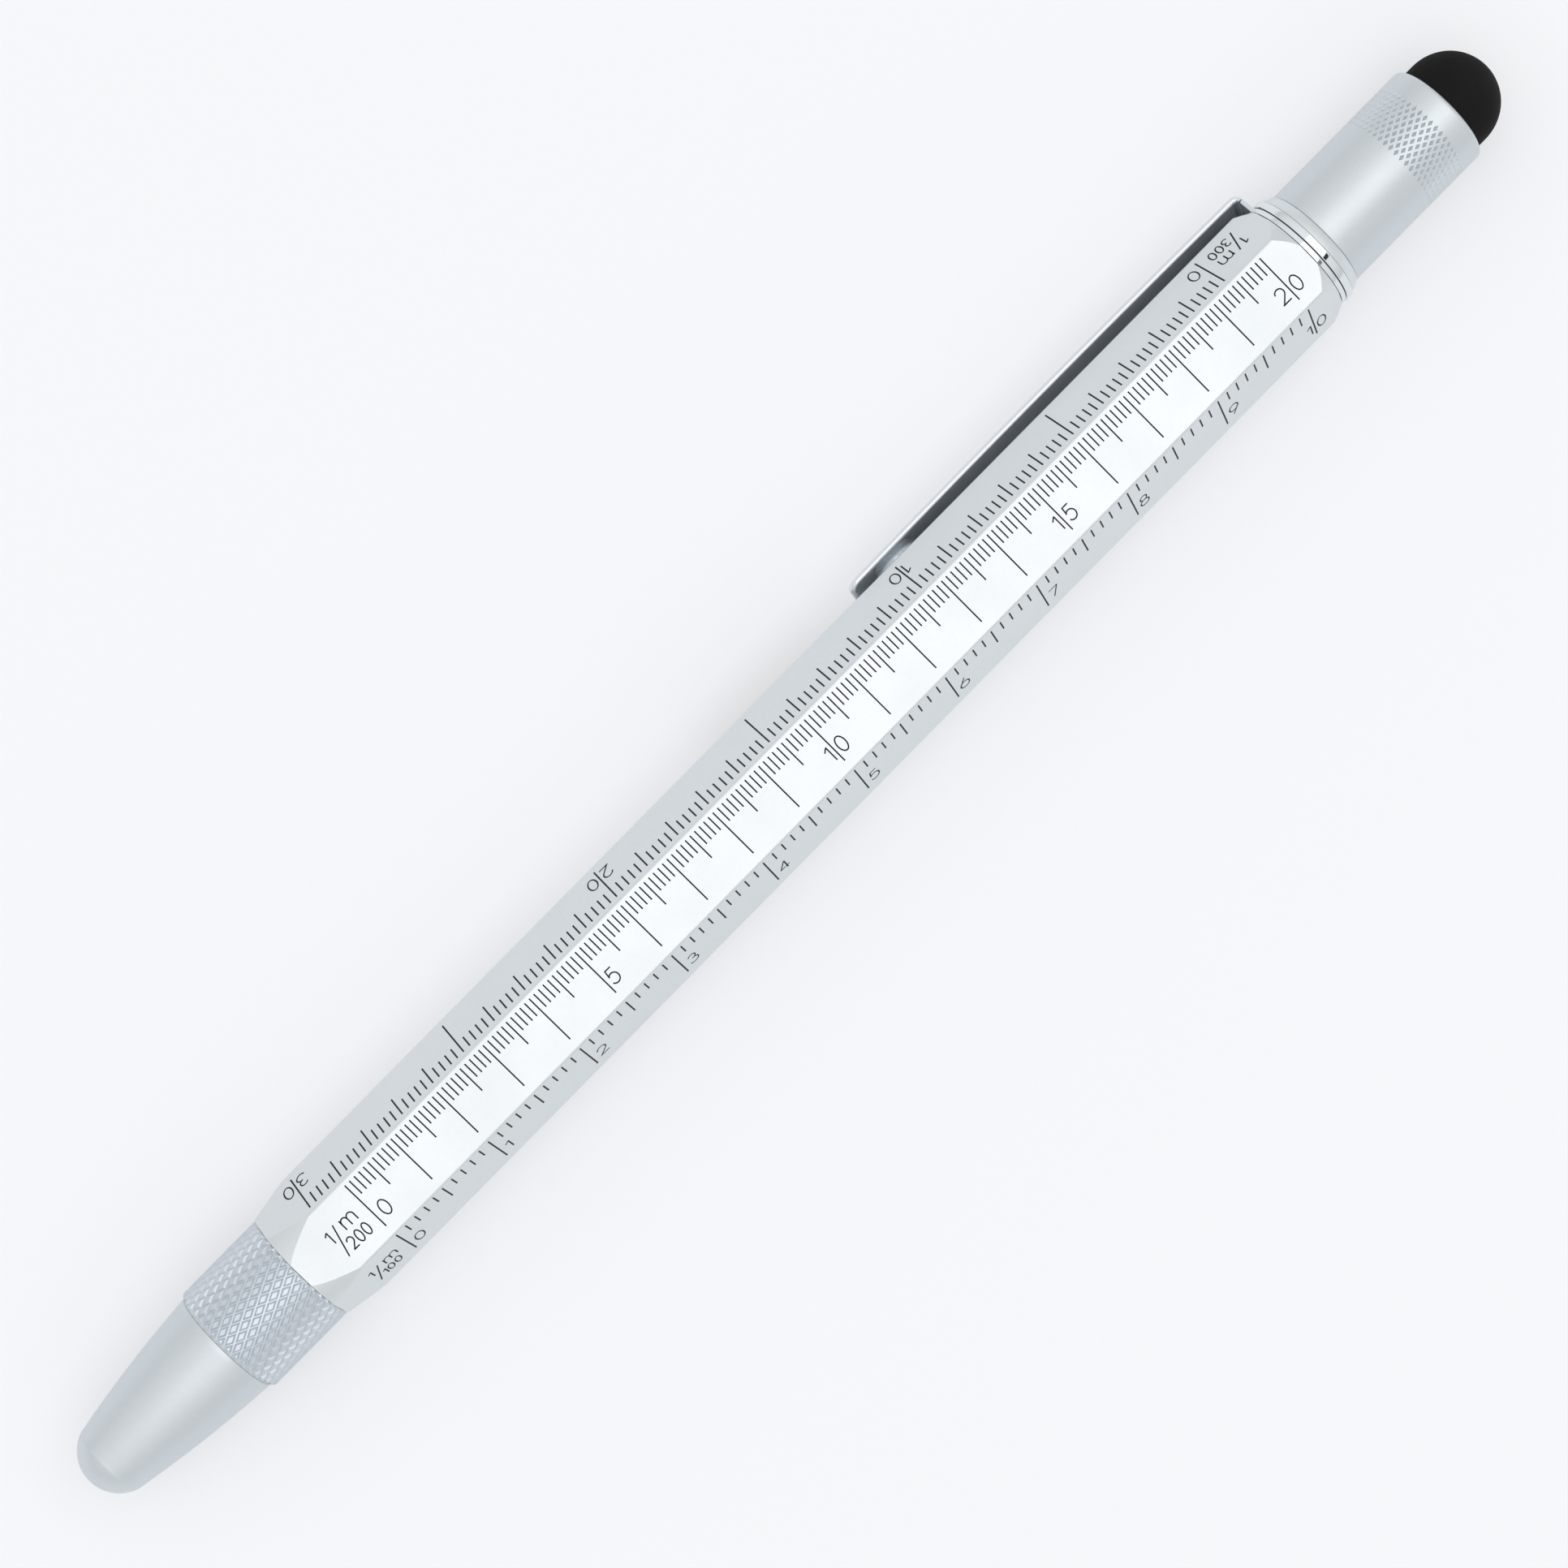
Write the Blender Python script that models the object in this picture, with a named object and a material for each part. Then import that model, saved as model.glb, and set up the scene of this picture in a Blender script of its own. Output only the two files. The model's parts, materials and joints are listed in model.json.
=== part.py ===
# Multi tool pen: a hexagonal barrel ruled with reduction scales, a nib under a short knurled cap at
# one end and a screwdriver bit under a stylus cap at the other. It lies on a desk, propped by its clip.
# Pen frame: X runs along the pen to the stylus, the barrel's front face is X = 0, and Z is the normal
# of the hexagon's top face. Lengths are in metres.
from math import asin, atan2, ceil, cos, pi, radians, sin, sqrt, tan

import bmesh
import bpy
from mathutils import Matrix, Vector

for old in list(bpy.data.objects):
    bpy.data.objects.remove(old, do_unlink=True)

mm = 0.001

# Gaps: between pieces fixed to each other, between pieces that move, and the dark seams that show
fit_gap = 0.06 * mm
running_gap = 0.10 * mm
seam_gap = 0.12 * mm
cut_overrun = 1.0 * mm

# Barrel
barrel_length = 110.2 * mm
barrel_flats = 10.0 * mm
barrel_edge_radius = 0.3 * mm
barrel_bore_radius = 3.7 * mm
front_chamfer_length = 3.9 * mm
front_end_radius = 5.12 * mm
rear_chamfer_length = 1.4 * mm
rear_end_radius = 5.08 * mm

# Nib unit: section, its ring, and the bush it screws into
section_radius = 3.25 * mm
section_stub_length = 5.6 * mm
section_thread_radius = 3.45 * mm
section_flange_radius = 3.65 * mm
section_flange_length = 0.6 * mm
section_lip_length = 0.5 * mm
section_depth = 9.5 * mm
section_wall = 0.65 * mm
section_bridge_start = -0.6 * mm
section_bridge_length = 4.2 * mm
ink_channel_radius = 0.4 * mm
piercing_tube_radius = 1.0 * mm
piercing_tube_length = 4.4 * mm
section_ring_radius = 3.75 * mm
section_ring_length = 0.7 * mm
front_bush_wall = 0.65 * mm
front_bush_length = 9.0 * mm

# Nib and feed
nib_radius = 2.4 * mm
nib_thickness = 0.3 * mm
nib_length = 19.0 * mm
nib_shoulder_length = 9.0 * mm
nib_tip_width = 0.6 * mm
nib_wrap_angle = radians(94)
nib_drop = 1.3 * mm
nib_drop_length = 12.5 * mm
nib_slit_width = 0.1 * mm
nib_hole_radius = 0.45 * mm
feed_length = 15.6 * mm
feed_fin_depth = 0.4 * mm
feed_fin_pitch = 1.0 * mm
feed_comb_length = 6.0 * mm
feed_tip_radius = 0.4 * mm
feed_taper_length = 3.6 * mm

# Ink cartridge
cartridge_radius = 3.2 * mm
cartridge_length = 38.0 * mm
cartridge_wall = 0.5 * mm
cartridge_neck_radius = 2.4 * mm
cartridge_end_radius = 0.8 * mm
cartridge_ball_radius = 1.3 * mm
cartridge_ball_place = 14.0 * mm

# Nib cap: dome, swollen cone, skirt, and the knurled ring pressed on it
cap_length = 23.18 * mm
cap_dome_length = 2.16 * mm
cap_dome_radius = 3.12 * mm
cap_cone_base_radius = 4.72 * mm
cap_cone_swell = 0.2 * mm
cap_skirt_radius = 4.3 * mm
cap_thread_bore_radius = 3.6 * mm
cap_mouth_bore_radius = 3.9 * mm
cap_mouth_depth = 1.9 * mm
cap_liner_depth = 15.8 * mm
cap_tip_bore_radius = 2.3 * mm
cap_end_wall = 2.1 * mm
liner_wall = 0.5 * mm
liner_length = 9.6 * mm
ring_length = 8.1 * mm
ring_radius = 5.0 * mm
ring_chamfer = 0.3 * mm
ring_knurl_pitch = 0.826 * mm
ring_knurl_angle = radians(27.5)
ring_knurl_depth = 0.2 * mm

# Spirit level behind its window in the clip's face
level_start = 50.0 * mm
level_carrier_length = 15.0 * mm
vial_radius = 1.6 * mm
vial_wall = 0.4 * mm
vial_length = 13.0 * mm
vial_offset = 2.55 * mm
vial_plug_length = 1.0 * mm
vial_side_gap = 0.1 * mm
bubble_radius = 0.55 * mm
bubble_length = 3.0 * mm
bubble_travel = 1.8 * mm
bubble_offset = 0.5 * mm

# Clip: ring and tab, then a sprung arm that bows a little and is pressed in at its tip
clip_ring_thickness = 0.45 * mm
clip_ring_radius = 5.05 * mm
clip_width = 5.65 * mm
clip_thickness = 0.6 * mm
clip_length = 43.2 * mm
clip_standoff = 0.88 * mm
clip_bow = 0.17 * mm
clip_edge_bevel = 0.12 * mm
clip_bend_radius = 0.75 * mm
clip_tab_height = 5.55 * mm
clip_tip_length = 2.4 * mm
clip_tip_width = 2.2 * mm
clip_bump_place = 5.1 * mm
clip_bump_length = 4.6 * mm
clip_bump_width = 3.6 * mm
clip_face_angle = radians(-120)
bump_reach_share = 0.6

# Trim ring and the bush that carries the bit and the stylus cap
trim_radius = 5.15 * mm
trim_band_length = 0.64 * mm
trim_cone_length = 0.9 * mm
trim_cone_end_radius = 4.62 * mm
rear_bush_depth = 16.2 * mm
rear_bush_end_wall = 2.4 * mm
rear_bush_stub = 4.0 * mm
magnet_radius = 1.75 * mm
magnet_length = 1.6 * mm

# Screwdriver bit
bit_flats = 4.0 * mm
bit_length = 26.0 * mm
bit_shank_length = 14.0 * mm
bit_neck_radius = 1.5 * mm
bit_neck_chamfer = 0.5 * mm
bit_blade_thickness = 0.5 * mm
bit_blade_length = 3.6 * mm
bit_point_length = 2.2 * mm
bit_point_radius = 0.6 * mm
bit_flute_width = 0.9 * mm
bit_flute_depth_share = 0.55

# Stylus cap, its core tube and the rubber dome
stylus_cap_length = 14.45 * mm
stylus_cap_radius = 4.58 * mm
stylus_cap_fillet = 0.42 * mm
stylus_cap_bore_radius = 3.4 * mm
stylus_thread_depth = 4.7 * mm
stylus_seat_depth = 3.0 * mm
band_start = 6.62 * mm
band_length = 4.0 * mm
band_knurl_pitch = 0.575 * mm
band_knurl_angle = radians(29)
band_knurl_depth = 0.13 * mm
rubber_radius = 4.05 * mm
rubber_wall = 0.85 * mm
rubber_reach = 4.75 * mm
core_wall = 0.5 * mm
core_clearance = 1.0 * mm
core_length = 9.6 * mm
core_flange_length = 0.8 * mm
core_flange_radius = 3.3 * mm

# Facets round the turned pieces
fine_segments = 48
plain_segments = 32
small_segments = 16

# Radii that follow from the pieces inside
half_flats = barrel_flats / 2
corner_radius = half_flats / cos(pi / 6)
front_bush_bore = section_radius + running_gap
front_bush_radius = front_bush_bore + front_bush_wall
section_nib_bore = nib_radius + fit_gap
section_neck_bore = cartridge_neck_radius + running_gap
feed_radius = nib_radius - nib_thickness - fit_gap
rear_bush_radius = barrel_bore_radius - fit_gap
socket_flats = bit_flats + 2 * running_gap
stylus_thread_bore = rear_bush_radius + running_gap

# Stations along the pen
cap_mouth = -seam_gap
cap_tip = cap_mouth - cap_length
cone_start = cap_tip + cap_dome_length
cone_end = cap_mouth - ring_length - fit_gap
section_ring_start = -fit_gap - section_ring_length
section_flange_start = section_ring_start - running_gap - section_flange_length
cartridge_start = section_bridge_start + section_bridge_length + running_gap * 2
carrier_end = level_start + level_carrier_length
clip_ring_start = barrel_length + fit_gap
clip_ring_end = clip_ring_start + clip_ring_thickness
trim_start = clip_ring_end + fit_gap
trim_end = trim_start + trim_band_length + trim_cone_length
rear_bush_start = barrel_length - rear_bush_depth
rear_bush_end = trim_end + rear_bush_stub
magnet_start = rear_bush_start + rear_bush_end_wall + fit_gap
bit_start = magnet_start + magnet_length + 2 * running_gap
stylus_start = trim_end + fit_gap
stylus_end = stylus_start + stylus_cap_length
rubber_seat = stylus_end - stylus_seat_depth
core_start = rear_bush_end + core_clearance


def material(name, colour, roughness, metallic):
    mat = bpy.data.materials.new(name)
    mat.use_nodes = True
    shader = mat.node_tree.nodes["Principled BSDF"]
    shader.inputs["Base Color"].default_value = (*colour, 1)
    shader.inputs["Roughness"].default_value = roughness
    shader.inputs["Metallic"].default_value = metallic
    mat.diffuse_color = (*colour, 1)
    return mat


def empty(name, parent=None):
    holder = bpy.data.objects.new(name, None)
    holder.empty_display_size = barrel_flats
    bpy.context.collection.objects.link(holder)
    holder.parent = parent
    return holder


def piece(name, bm, mat, parent, place=(0, 0, 0)):
    """Turns a bmesh drawn in the parent's frame into an object whose origin is at place."""
    bmesh.ops.remove_doubles(bm, verts=bm.verts, dist=fit_gap / 100)
    bmesh.ops.translate(bm, verts=bm.verts, vec=-Vector(place))
    bmesh.ops.recalc_face_normals(bm, faces=bm.faces)
    mesh = bpy.data.meshes.new(name)
    bm.to_mesh(mesh)
    bm.free()
    mesh.shade_smooth()
    mesh.set_sharp_from_angle(angle=radians(30))
    if mat:
        mesh.materials.append(mat)
    obj = bpy.data.objects.new(name, mesh)
    obj.location = place
    obj.parent = parent
    bpy.context.collection.objects.link(obj)
    return obj


def turned_bmesh(outline, segments, height=0):
    """Spins an outline of (x, radius) points about an axis along X at the given height."""
    bm = bmesh.new()
    verts = [bm.verts.new((x, 0, radius)) for x, radius in outline]
    for a, b in zip(verts, verts[1:]):
        bm.edges.new((a, b))
    if outline[0][1] > 0 or outline[-1][1] > 0:
        bm.edges.new((verts[-1], verts[0]))
    bmesh.ops.spin(bm, geom=bm.verts[:] + bm.edges[:], cent=(0, 0, 0), axis=(1, 0, 0), dvec=(0, 0, 0),
                   angle=2 * pi, steps=segments, use_merge=True, use_duplicate=False)
    bmesh.ops.translate(bm, verts=bm.verts, vec=(0, 0, height))
    return bm


def turned(name, outline, segments, mat, parent, height=0):
    """A turned piece, with its origin on its own axis at its nib end."""
    start = min(x for x, radius in outline)
    return piece(name, turned_bmesh(outline, segments, height), mat, parent, (start, 0, height))


def tube_outline(start, end, inner, outer):
    return [(start, inner), (start, outer), (end, outer), (end, inner)]


def arc(centre_x, centre_radius, radius, first, last, steps):
    """Points of an arc in the outline's plane. Angle 0 points along X and 90 degrees points outwards."""
    return [(centre_x + radius * cos(first + (last - first) * i / steps),
             centre_radius + radius * sin(first + (last - first) * i / steps)) for i in range(steps + 1)]


def hexagon_bmesh(start, end, flats, edge_radius=0):
    """A hexagonal prism along X with a flat on top and its long edges rounded."""
    bm = bmesh.new()
    reach = flats / 2 / cos(pi / 6)
    ring = [bm.verts.new((start, reach * sin(pi / 6 + k * pi / 3), reach * cos(pi / 6 + k * pi / 3)))
            for k in range(6)]
    face = bm.faces.new(ring)
    moved = bmesh.ops.extrude_face_region(bm, geom=[face])
    far = [item for item in moved["geom"] if isinstance(item, bmesh.types.BMVert)]
    bmesh.ops.translate(bm, verts=far, vec=(end - start, 0, 0))
    if edge_radius:
        long_edges = [e for e in bm.edges if abs(e.verts[0].co.x - e.verts[1].co.x) > edge_radius]
        bmesh.ops.bevel(bm, geom=long_edges, offset=edge_radius * tan(pi / 6), offset_type="OFFSET",
                        segments=3, profile=0.5, affect="EDGES")
    return bm


def box_bmesh(low, high):
    bm = bmesh.new()
    bmesh.ops.create_cube(bm, size=1)
    size = Vector(high) - Vector(low)
    bmesh.ops.scale(bm, vec=size, verts=bm.verts)
    bmesh.ops.translate(bm, vec=(Vector(low) + Vector(high)) / 2, verts=bm.verts)
    return bm


def cutter(name, bm, parent):
    guide = piece(name, bm, None, parent)
    guide.hide_render = True
    guide.display_type = "WIRE"
    return guide


def cut(obj, guide, operation="DIFFERENCE"):
    step = obj.modifiers.new(guide.name, "BOOLEAN")
    step.operation = operation
    step.solver = "EXACT"
    step.object = guide


def knurled(name, rows, first_knurl_row, last_knurl_row, starts, depth, mat, parent):
    """A turned ring of (x, radius) rows, closed on itself, with diamonds between two of the rows."""
    bm = bmesh.new()
    columns = 2 * starts
    grid = []
    for j, (x, radius) in enumerate(rows):
        ring = []
        for i in range(columns):
            inside = first_knurl_row < j < last_knurl_row
            reach = radius - depth if inside and (i + j) % 2 == 0 else radius
            angle = pi * i / starts
            ring.append(bm.verts.new((x, reach * sin(angle), reach * cos(angle))))
        grid.append(ring)
    for j, ring in enumerate(grid):
        after = grid[(j + 1) % len(grid)]
        for i in range(columns):
            k = (i + 1) % columns
            if first_knurl_row <= j < last_knurl_row:
                if (i + j) % 2:
                    bm.faces.new((ring[i], ring[k], after[i]))
                    bm.faces.new((ring[k], after[k], after[i]))
                else:
                    bm.faces.new((ring[i], after[k], after[i]))
                    bm.faces.new((ring[i], ring[k], after[k]))
            else:
                bm.faces.new((ring[i], ring[k], after[k], after[i]))
    start = min(x for x, radius in rows)
    return piece(name, bm, mat, parent, (start, 0, 0))


def knurl_rows(start, end, radius, pitch, angle):
    """Even rows across a knurled band, and how many times its grooves start round the pen."""
    starts = round(2 * pi * radius / pitch)
    spacing = pi * radius / starts / tan(angle)
    count = max(2, round((end - start) / spacing))
    return [(start + (end - start) * i / count, radius) for i in range(count + 1)], starts


def nib_sag(x):
    """How far the nib and feed have sunk from their straight line at station x."""
    beyond = max(0, section_bridge_start - nib_length + nib_drop_length - x)
    return nib_drop * (beyond / nib_drop_length) ** 2


# Materials, from the photograph
satin_silver = material("satin_silver", (0.60, 0.63, 0.65), 0.38, 0.9)
cap_silver = material("cap_silver", (0.56, 0.59, 0.62), 0.42, 0.9)
knurl_silver = material("knurl_silver", (0.55, 0.58, 0.61), 0.40, 0.9)
chrome = material("chrome", (0.80, 0.82, 0.83), 0.08, 1.0)
trim_chrome = material("trim_chrome", (0.78, 0.80, 0.82), 0.12, 1.0)
black_rubber = material("black_rubber", (0.012, 0.012, 0.013), 0.75, 0.0)
steel = material("steel", (0.62, 0.63, 0.64), 0.25, 1.0)
tool_steel = material("tool_steel", (0.40, 0.41, 0.43), 0.35, 1.0)
brass = material("brass", (0.70, 0.55, 0.28), 0.35, 1.0)
black_plastic = material("black_plastic", (0.02, 0.02, 0.022), 0.35, 0.0)
white_plastic = material("white_plastic", (0.75, 0.75, 0.73), 0.45, 0.0)
ink_plastic = material("ink_plastic", (0.10, 0.16, 0.34), 0.2, 0.0)
clear_tube = material("clear_tube", (0.85, 0.90, 0.88), 0.05, 0.0)
level_green = material("level_green", (0.45, 0.80, 0.12), 0.1, 0.0)
bubble_pale = material("bubble_pale", (0.90, 0.97, 0.75), 0.1, 0.0)

# The clip's lower edge and one rounded corner of the hexagon touch the desk, which sets the roll
clip_inner_reach = half_flats + clip_standoff
clip_outer_reach = clip_inner_reach + clip_thickness
foot_reach = clip_outer_reach + clip_bow - clip_edge_bevel
foot = Vector((-foot_reach * sin(clip_face_angle) + clip_width / 2 * cos(clip_face_angle),
               foot_reach * cos(clip_face_angle) + clip_width / 2 * sin(clip_face_angle)))
corner_centre = (half_flats - barrel_edge_radius) / cos(pi / 6)
corner = Vector((-corner_centre * sin(pi / 6), -corner_centre * cos(pi / 6)))
span = foot - corner
roll = -atan2(span.y, span.x) - asin(barrel_edge_radius / span.length)

pen = empty("pen")
pen.rotation_euler.x = roll
clip_side = empty("clip_side", pen)
clip_side.rotation_euler.x = clip_face_angle

# Barrel: a hexagon whose ends are turned down, bored through, with the level's window
blank = hexagon_bmesh(-cut_overrun, barrel_length + cut_overrun, barrel_flats, barrel_edge_radius)
barrel = piece("barrel", blank, satin_silver, pen)
window_half_width = vial_radius + vial_side_gap
vial_start = level_start + (level_carrier_length - vial_length) / 2
vial_end = vial_start + vial_length
window = box_bmesh((vial_start - vial_side_gap, -window_half_width, vial_offset),
                   (vial_end + vial_side_gap, window_half_width, half_flats + cut_overrun))
upright = [e for e in window.edges if abs(e.verts[0].co.z - e.verts[1].co.z) > cut_overrun]
bmesh.ops.bevel(window, geom=upright, offset=vial_radius / 2, offset_type="OFFSET", segments=3, profile=0.5,
                affect="EDGES")
window_cutter = cutter("level_window", window, clip_side)
cut(barrel, window_cutter)
full_radius = corner_radius + barrel_edge_radius
turned_down = [(0, 0), (0, front_end_radius), (front_chamfer_length, corner_radius)]
turned_down += [(front_chamfer_length + cut_overrun, full_radius)]
turned_down += [(barrel_length - rear_chamfer_length - cut_overrun, full_radius)]
turned_down += [(barrel_length - rear_chamfer_length, corner_radius)]
turned_down += [(barrel_length, rear_end_radius), (barrel_length, 0)]
cut(barrel, cutter("barrel_ends", turned_bmesh(turned_down, fine_segments * 2), pen), "INTERSECT")
bush_seat = front_bush_length + 2 * fit_gap
bush_bore = front_bush_radius + fit_gap
bore = [(-cut_overrun, 0), (-cut_overrun, bush_bore), (bush_seat, bush_bore)]
bore += [(bush_seat, barrel_bore_radius), (barrel_length + cut_overrun, barrel_bore_radius)]
bore += [(barrel_length + cut_overrun, 0)]
cut(barrel, cutter("barrel_bore", turned_bmesh(bore, plain_segments), pen))

# Front bush, section ring and section
turned("front_bush", tube_outline(2 * fit_gap, front_bush_length, front_bush_bore, front_bush_radius),
       plain_segments, brass, pen)
turned("section_ring", tube_outline(section_ring_start, -fit_gap, front_bush_bore, section_ring_radius),
       plain_segments, chrome, pen)
stub_end = -section_stub_length
flange_end = section_flange_start + section_flange_length
bridge_end = section_bridge_start + section_bridge_length
section = [(section_bridge_start, ink_channel_radius), (section_bridge_start, section_nib_bore)]
section += [(stub_end, section_nib_bore), (stub_end, section_nib_bore + section_wall)]
section += [(stub_end + section_lip_length, section_thread_radius)]
section += [(section_flange_start, section_thread_radius)]
section += [(section_flange_start, section_flange_radius), (flange_end, section_flange_radius)]
section += [(flange_end, section_radius), (section_depth, section_radius), (section_depth, section_neck_bore)]
section += [(bridge_end, section_neck_bore), (bridge_end, piercing_tube_radius)]
section += [(bridge_end + piercing_tube_length, piercing_tube_radius)]
section += [(bridge_end + piercing_tube_length, ink_channel_radius)]
turned("section", section, plain_segments, black_plastic, pen)

# Nib: a wrapped sheet that narrows past its shoulders and sinks towards its tip
nib_tail = section_bridge_start - running_gap
nib_tip = nib_tail - nib_length
shoulder = nib_tip + nib_shoulder_length
sheet = bmesh.new()
stations = [nib_tail + (shoulder - nib_tail) * i / 3 for i in range(3)]
stations += [shoulder + (nib_tip - shoulder) * i / 9 for i in range(10)]
across = 12
layers = []
for radius in (nib_radius, nib_radius - nib_thickness):
    grid = []
    for x in stations:
        share = min(1, max(0, (x - nib_tip) / nib_shoulder_length))
        tip_wrap = nib_tip_width / 2 / nib_radius
        wrap = tip_wrap + (nib_wrap_angle - tip_wrap) * share ** 1.3
        grid.append([sheet.verts.new((x, radius * sin(wrap * (2 * j / across - 1)),
                                      radius * cos(wrap * (2 * j / across - 1)) - nib_sag(x)))
                     for j in range(across + 1)])
    layers.append(grid)
outer, inner = layers
for i in range(len(stations) - 1):
    for j in range(across):
        sheet.faces.new((outer[i][j], outer[i][j + 1], outer[i + 1][j + 1], outer[i + 1][j]))
        sheet.faces.new((inner[i][j], inner[i + 1][j], inner[i + 1][j + 1], inner[i][j + 1]))
    for j in (0, across):
        sheet.faces.new((outer[i][j], outer[i + 1][j], inner[i + 1][j], inner[i][j]))
for i in (0, len(stations) - 1):
    for j in range(across):
        sheet.faces.new((outer[i][j], inner[i][j], inner[i][j + 1], outer[i][j + 1]))
nib = piece("nib", sheet, steel, pen, (nib_tail, 0, 0))
hole_place = shoulder - 2 * nib_hole_radius
slit = box_bmesh((nib_tip - cut_overrun, -nib_slit_width / 2, 0),
                 (hole_place, nib_slit_width / 2, nib_radius + cut_overrun))
cut(nib, cutter("nib_slit", slit, pen))
hole = bmesh.new()
bmesh.ops.create_cone(hole, segments=small_segments // 2, radius1=nib_hole_radius, radius2=nib_hole_radius,
                      depth=2 * nib_radius, cap_ends=True)
bmesh.ops.translate(hole, verts=hole.verts, vec=(hole_place, 0, nib_radius))
cut(nib, cutter("nib_hole", hole, pen))

# Feed: a comb of fins under the nib that tapers to a tip
comb_start = stub_end - 2 * feed_fin_depth
fins = ceil(feed_comb_length / feed_fin_pitch)
feed = [(nib_tail, 0), (nib_tail, feed_radius)]
for i in range(fins):
    x = comb_start - i * feed_comb_length / fins
    gap_end = x - feed_comb_length / fins / 2
    feed += [(x, feed_radius), (x, feed_radius - feed_fin_depth), (gap_end, feed_radius - feed_fin_depth)]
    feed += [(gap_end, feed_radius)]
feed_tip = nib_tail - feed_length
feed += [(feed_tip + feed_taper_length, feed_radius - feed_fin_depth / 2)]
feed += [(feed_tip + feed_taper_length / 2, (feed_radius + feed_tip_radius) / 2), (feed_tip, feed_tip_radius)]
feed += [(feed_tip, 0)]
comb = turned_bmesh(feed, small_segments)
for vert in comb.verts:
    vert.co.z -= nib_sag(vert.co.x)
piece("feed", comb, black_plastic, pen, (nib_tail, 0, 0))

# Ink cartridge with its ball
body_start = section_depth + running_gap
cartridge_end = cartridge_start + cartridge_length
inside = cartridge_radius - cartridge_wall
neck_bore = piercing_tube_radius + running_gap
cartridge = [(cartridge_start, neck_bore), (cartridge_start, cartridge_neck_radius)]
cartridge += [(body_start, cartridge_neck_radius), (body_start, cartridge_radius)]
cartridge += arc(cartridge_end - cartridge_end_radius, cartridge_radius - cartridge_end_radius,
                 cartridge_end_radius, pi / 2, 0, 3)
cartridge += [(cartridge_end, 0), (cartridge_end - cartridge_wall, 0)]
cartridge += [(cartridge_end - cartridge_wall, inside)]
cartridge += [(body_start + cartridge_wall, inside), (body_start + cartridge_wall, neck_bore)]
rim = cartridge.index((cartridge_end, 0))
outline = cartridge[rim + 1:] + cartridge[:rim + 1]
turned("ink_cartridge", outline, plain_segments, ink_plastic, pen)
ball = bmesh.new()
bmesh.ops.create_uvsphere(ball, u_segments=12, v_segments=6, radius=cartridge_ball_radius)
ball_place = (cartridge_start + cartridge_ball_place, 0, cartridge_ball_radius + fit_gap - inside)
bmesh.ops.translate(ball, verts=ball.verts, vec=ball_place)
piece("cartridge_ball", ball, white_plastic, pen, ball_place)

# Nib cap: dome, swollen cone, skirt and stepped bore
sphere_radius = (cap_dome_radius ** 2 + cap_dome_length ** 2) / (2 * cap_dome_length)
dome_angle = asin(cap_dome_radius / sphere_radius)
cap = arc(cap_tip + sphere_radius, 0, sphere_radius, pi, pi - dome_angle, 5)
cap[0] = (cap_tip, 0)
for i in range(1, 7):
    t = i / 6
    cap.append((cone_start + (cone_end - cone_start) * t, cap_dome_radius
                + (cap_cone_base_radius - cap_dome_radius) * t + 4 * cap_cone_swell * t * (1 - t)))
cap += [(cone_end, cap_skirt_radius), (cap_mouth, cap_skirt_radius), (cap_mouth, cap_mouth_bore_radius)]
mouth_step = cap_mouth - cap_mouth_depth
liner_seat = cap_mouth - cap_liner_depth
cap += [(mouth_step, cap_mouth_bore_radius), (mouth_step, cap_thread_bore_radius)]
cap += [(liner_seat, cap_thread_bore_radius), (liner_seat, cap_tip_bore_radius)]
cap += [(cap_tip + cap_end_wall, cap_tip_bore_radius), (cap_tip + cap_end_wall, 0)]
turned("nib_cap", cap, fine_segments, cap_silver, pen)
liner_start = liner_seat + fit_gap
liner_radius = cap_thread_bore_radius - running_gap
turned("nib_cap_liner", tube_outline(liner_start, liner_start + liner_length, liner_radius - liner_wall,
                                     liner_radius), plain_segments, white_plastic, pen)

# Knurled ring on the cap's skirt
ring_start = cap_mouth - ring_length
bands, starts = knurl_rows(ring_start + ring_chamfer, cap_mouth - ring_chamfer / 3, ring_radius,
                           ring_knurl_pitch, ring_knurl_angle)
ring_bore = cap_skirt_radius + fit_gap
rows = [(ring_start, ring_bore), (ring_start, ring_radius - ring_chamfer)] + bands
rows += [(cap_mouth, ring_radius - ring_chamfer / 3), (cap_mouth, ring_bore)]
knurled("knurled_ring", rows, 2, 1 + len(bands), starts, ring_knurl_depth, knurl_silver, pen)

# Spirit level: carrier with a trough, vial, plugs, liquid with a channel, and its bubble
carrier_radius = barrel_bore_radius - fit_gap
carrier = [(level_start, 0), (level_start, carrier_radius), (carrier_end, carrier_radius), (carrier_end, 0)]
level_carrier = turned("level_carrier", carrier, plain_segments, black_plastic, pen)
trough = [(vial_start - vial_side_gap, 0), (vial_start - vial_side_gap, vial_radius + fit_gap)]
trough += [(vial_end + vial_side_gap, vial_radius + fit_gap), (vial_end + vial_side_gap, 0)]
cut(level_carrier, cutter("level_trough", turned_bmesh(trough, small_segments, vial_offset), clip_side))
cut(level_carrier, window_cutter)
vial_bore = vial_radius - vial_wall
turned("level_vial", tube_outline(vial_start, vial_end, vial_bore, vial_radius), small_segments, clear_tube,
       clip_side, vial_offset)
plug_radius = vial_bore - fit_gap
for name, start in (("level_plug_front", vial_start), ("level_plug_rear", vial_end - vial_plug_length)):
    plug = [(start, 0), (start, plug_radius), (start + vial_plug_length, plug_radius)]
    plug.append((start + vial_plug_length, 0))
    turned(name, plug, small_segments, black_plastic, clip_side, vial_offset)
liquid_start = vial_start + vial_plug_length + fit_gap
liquid_end = vial_end - vial_plug_length - fit_gap
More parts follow.
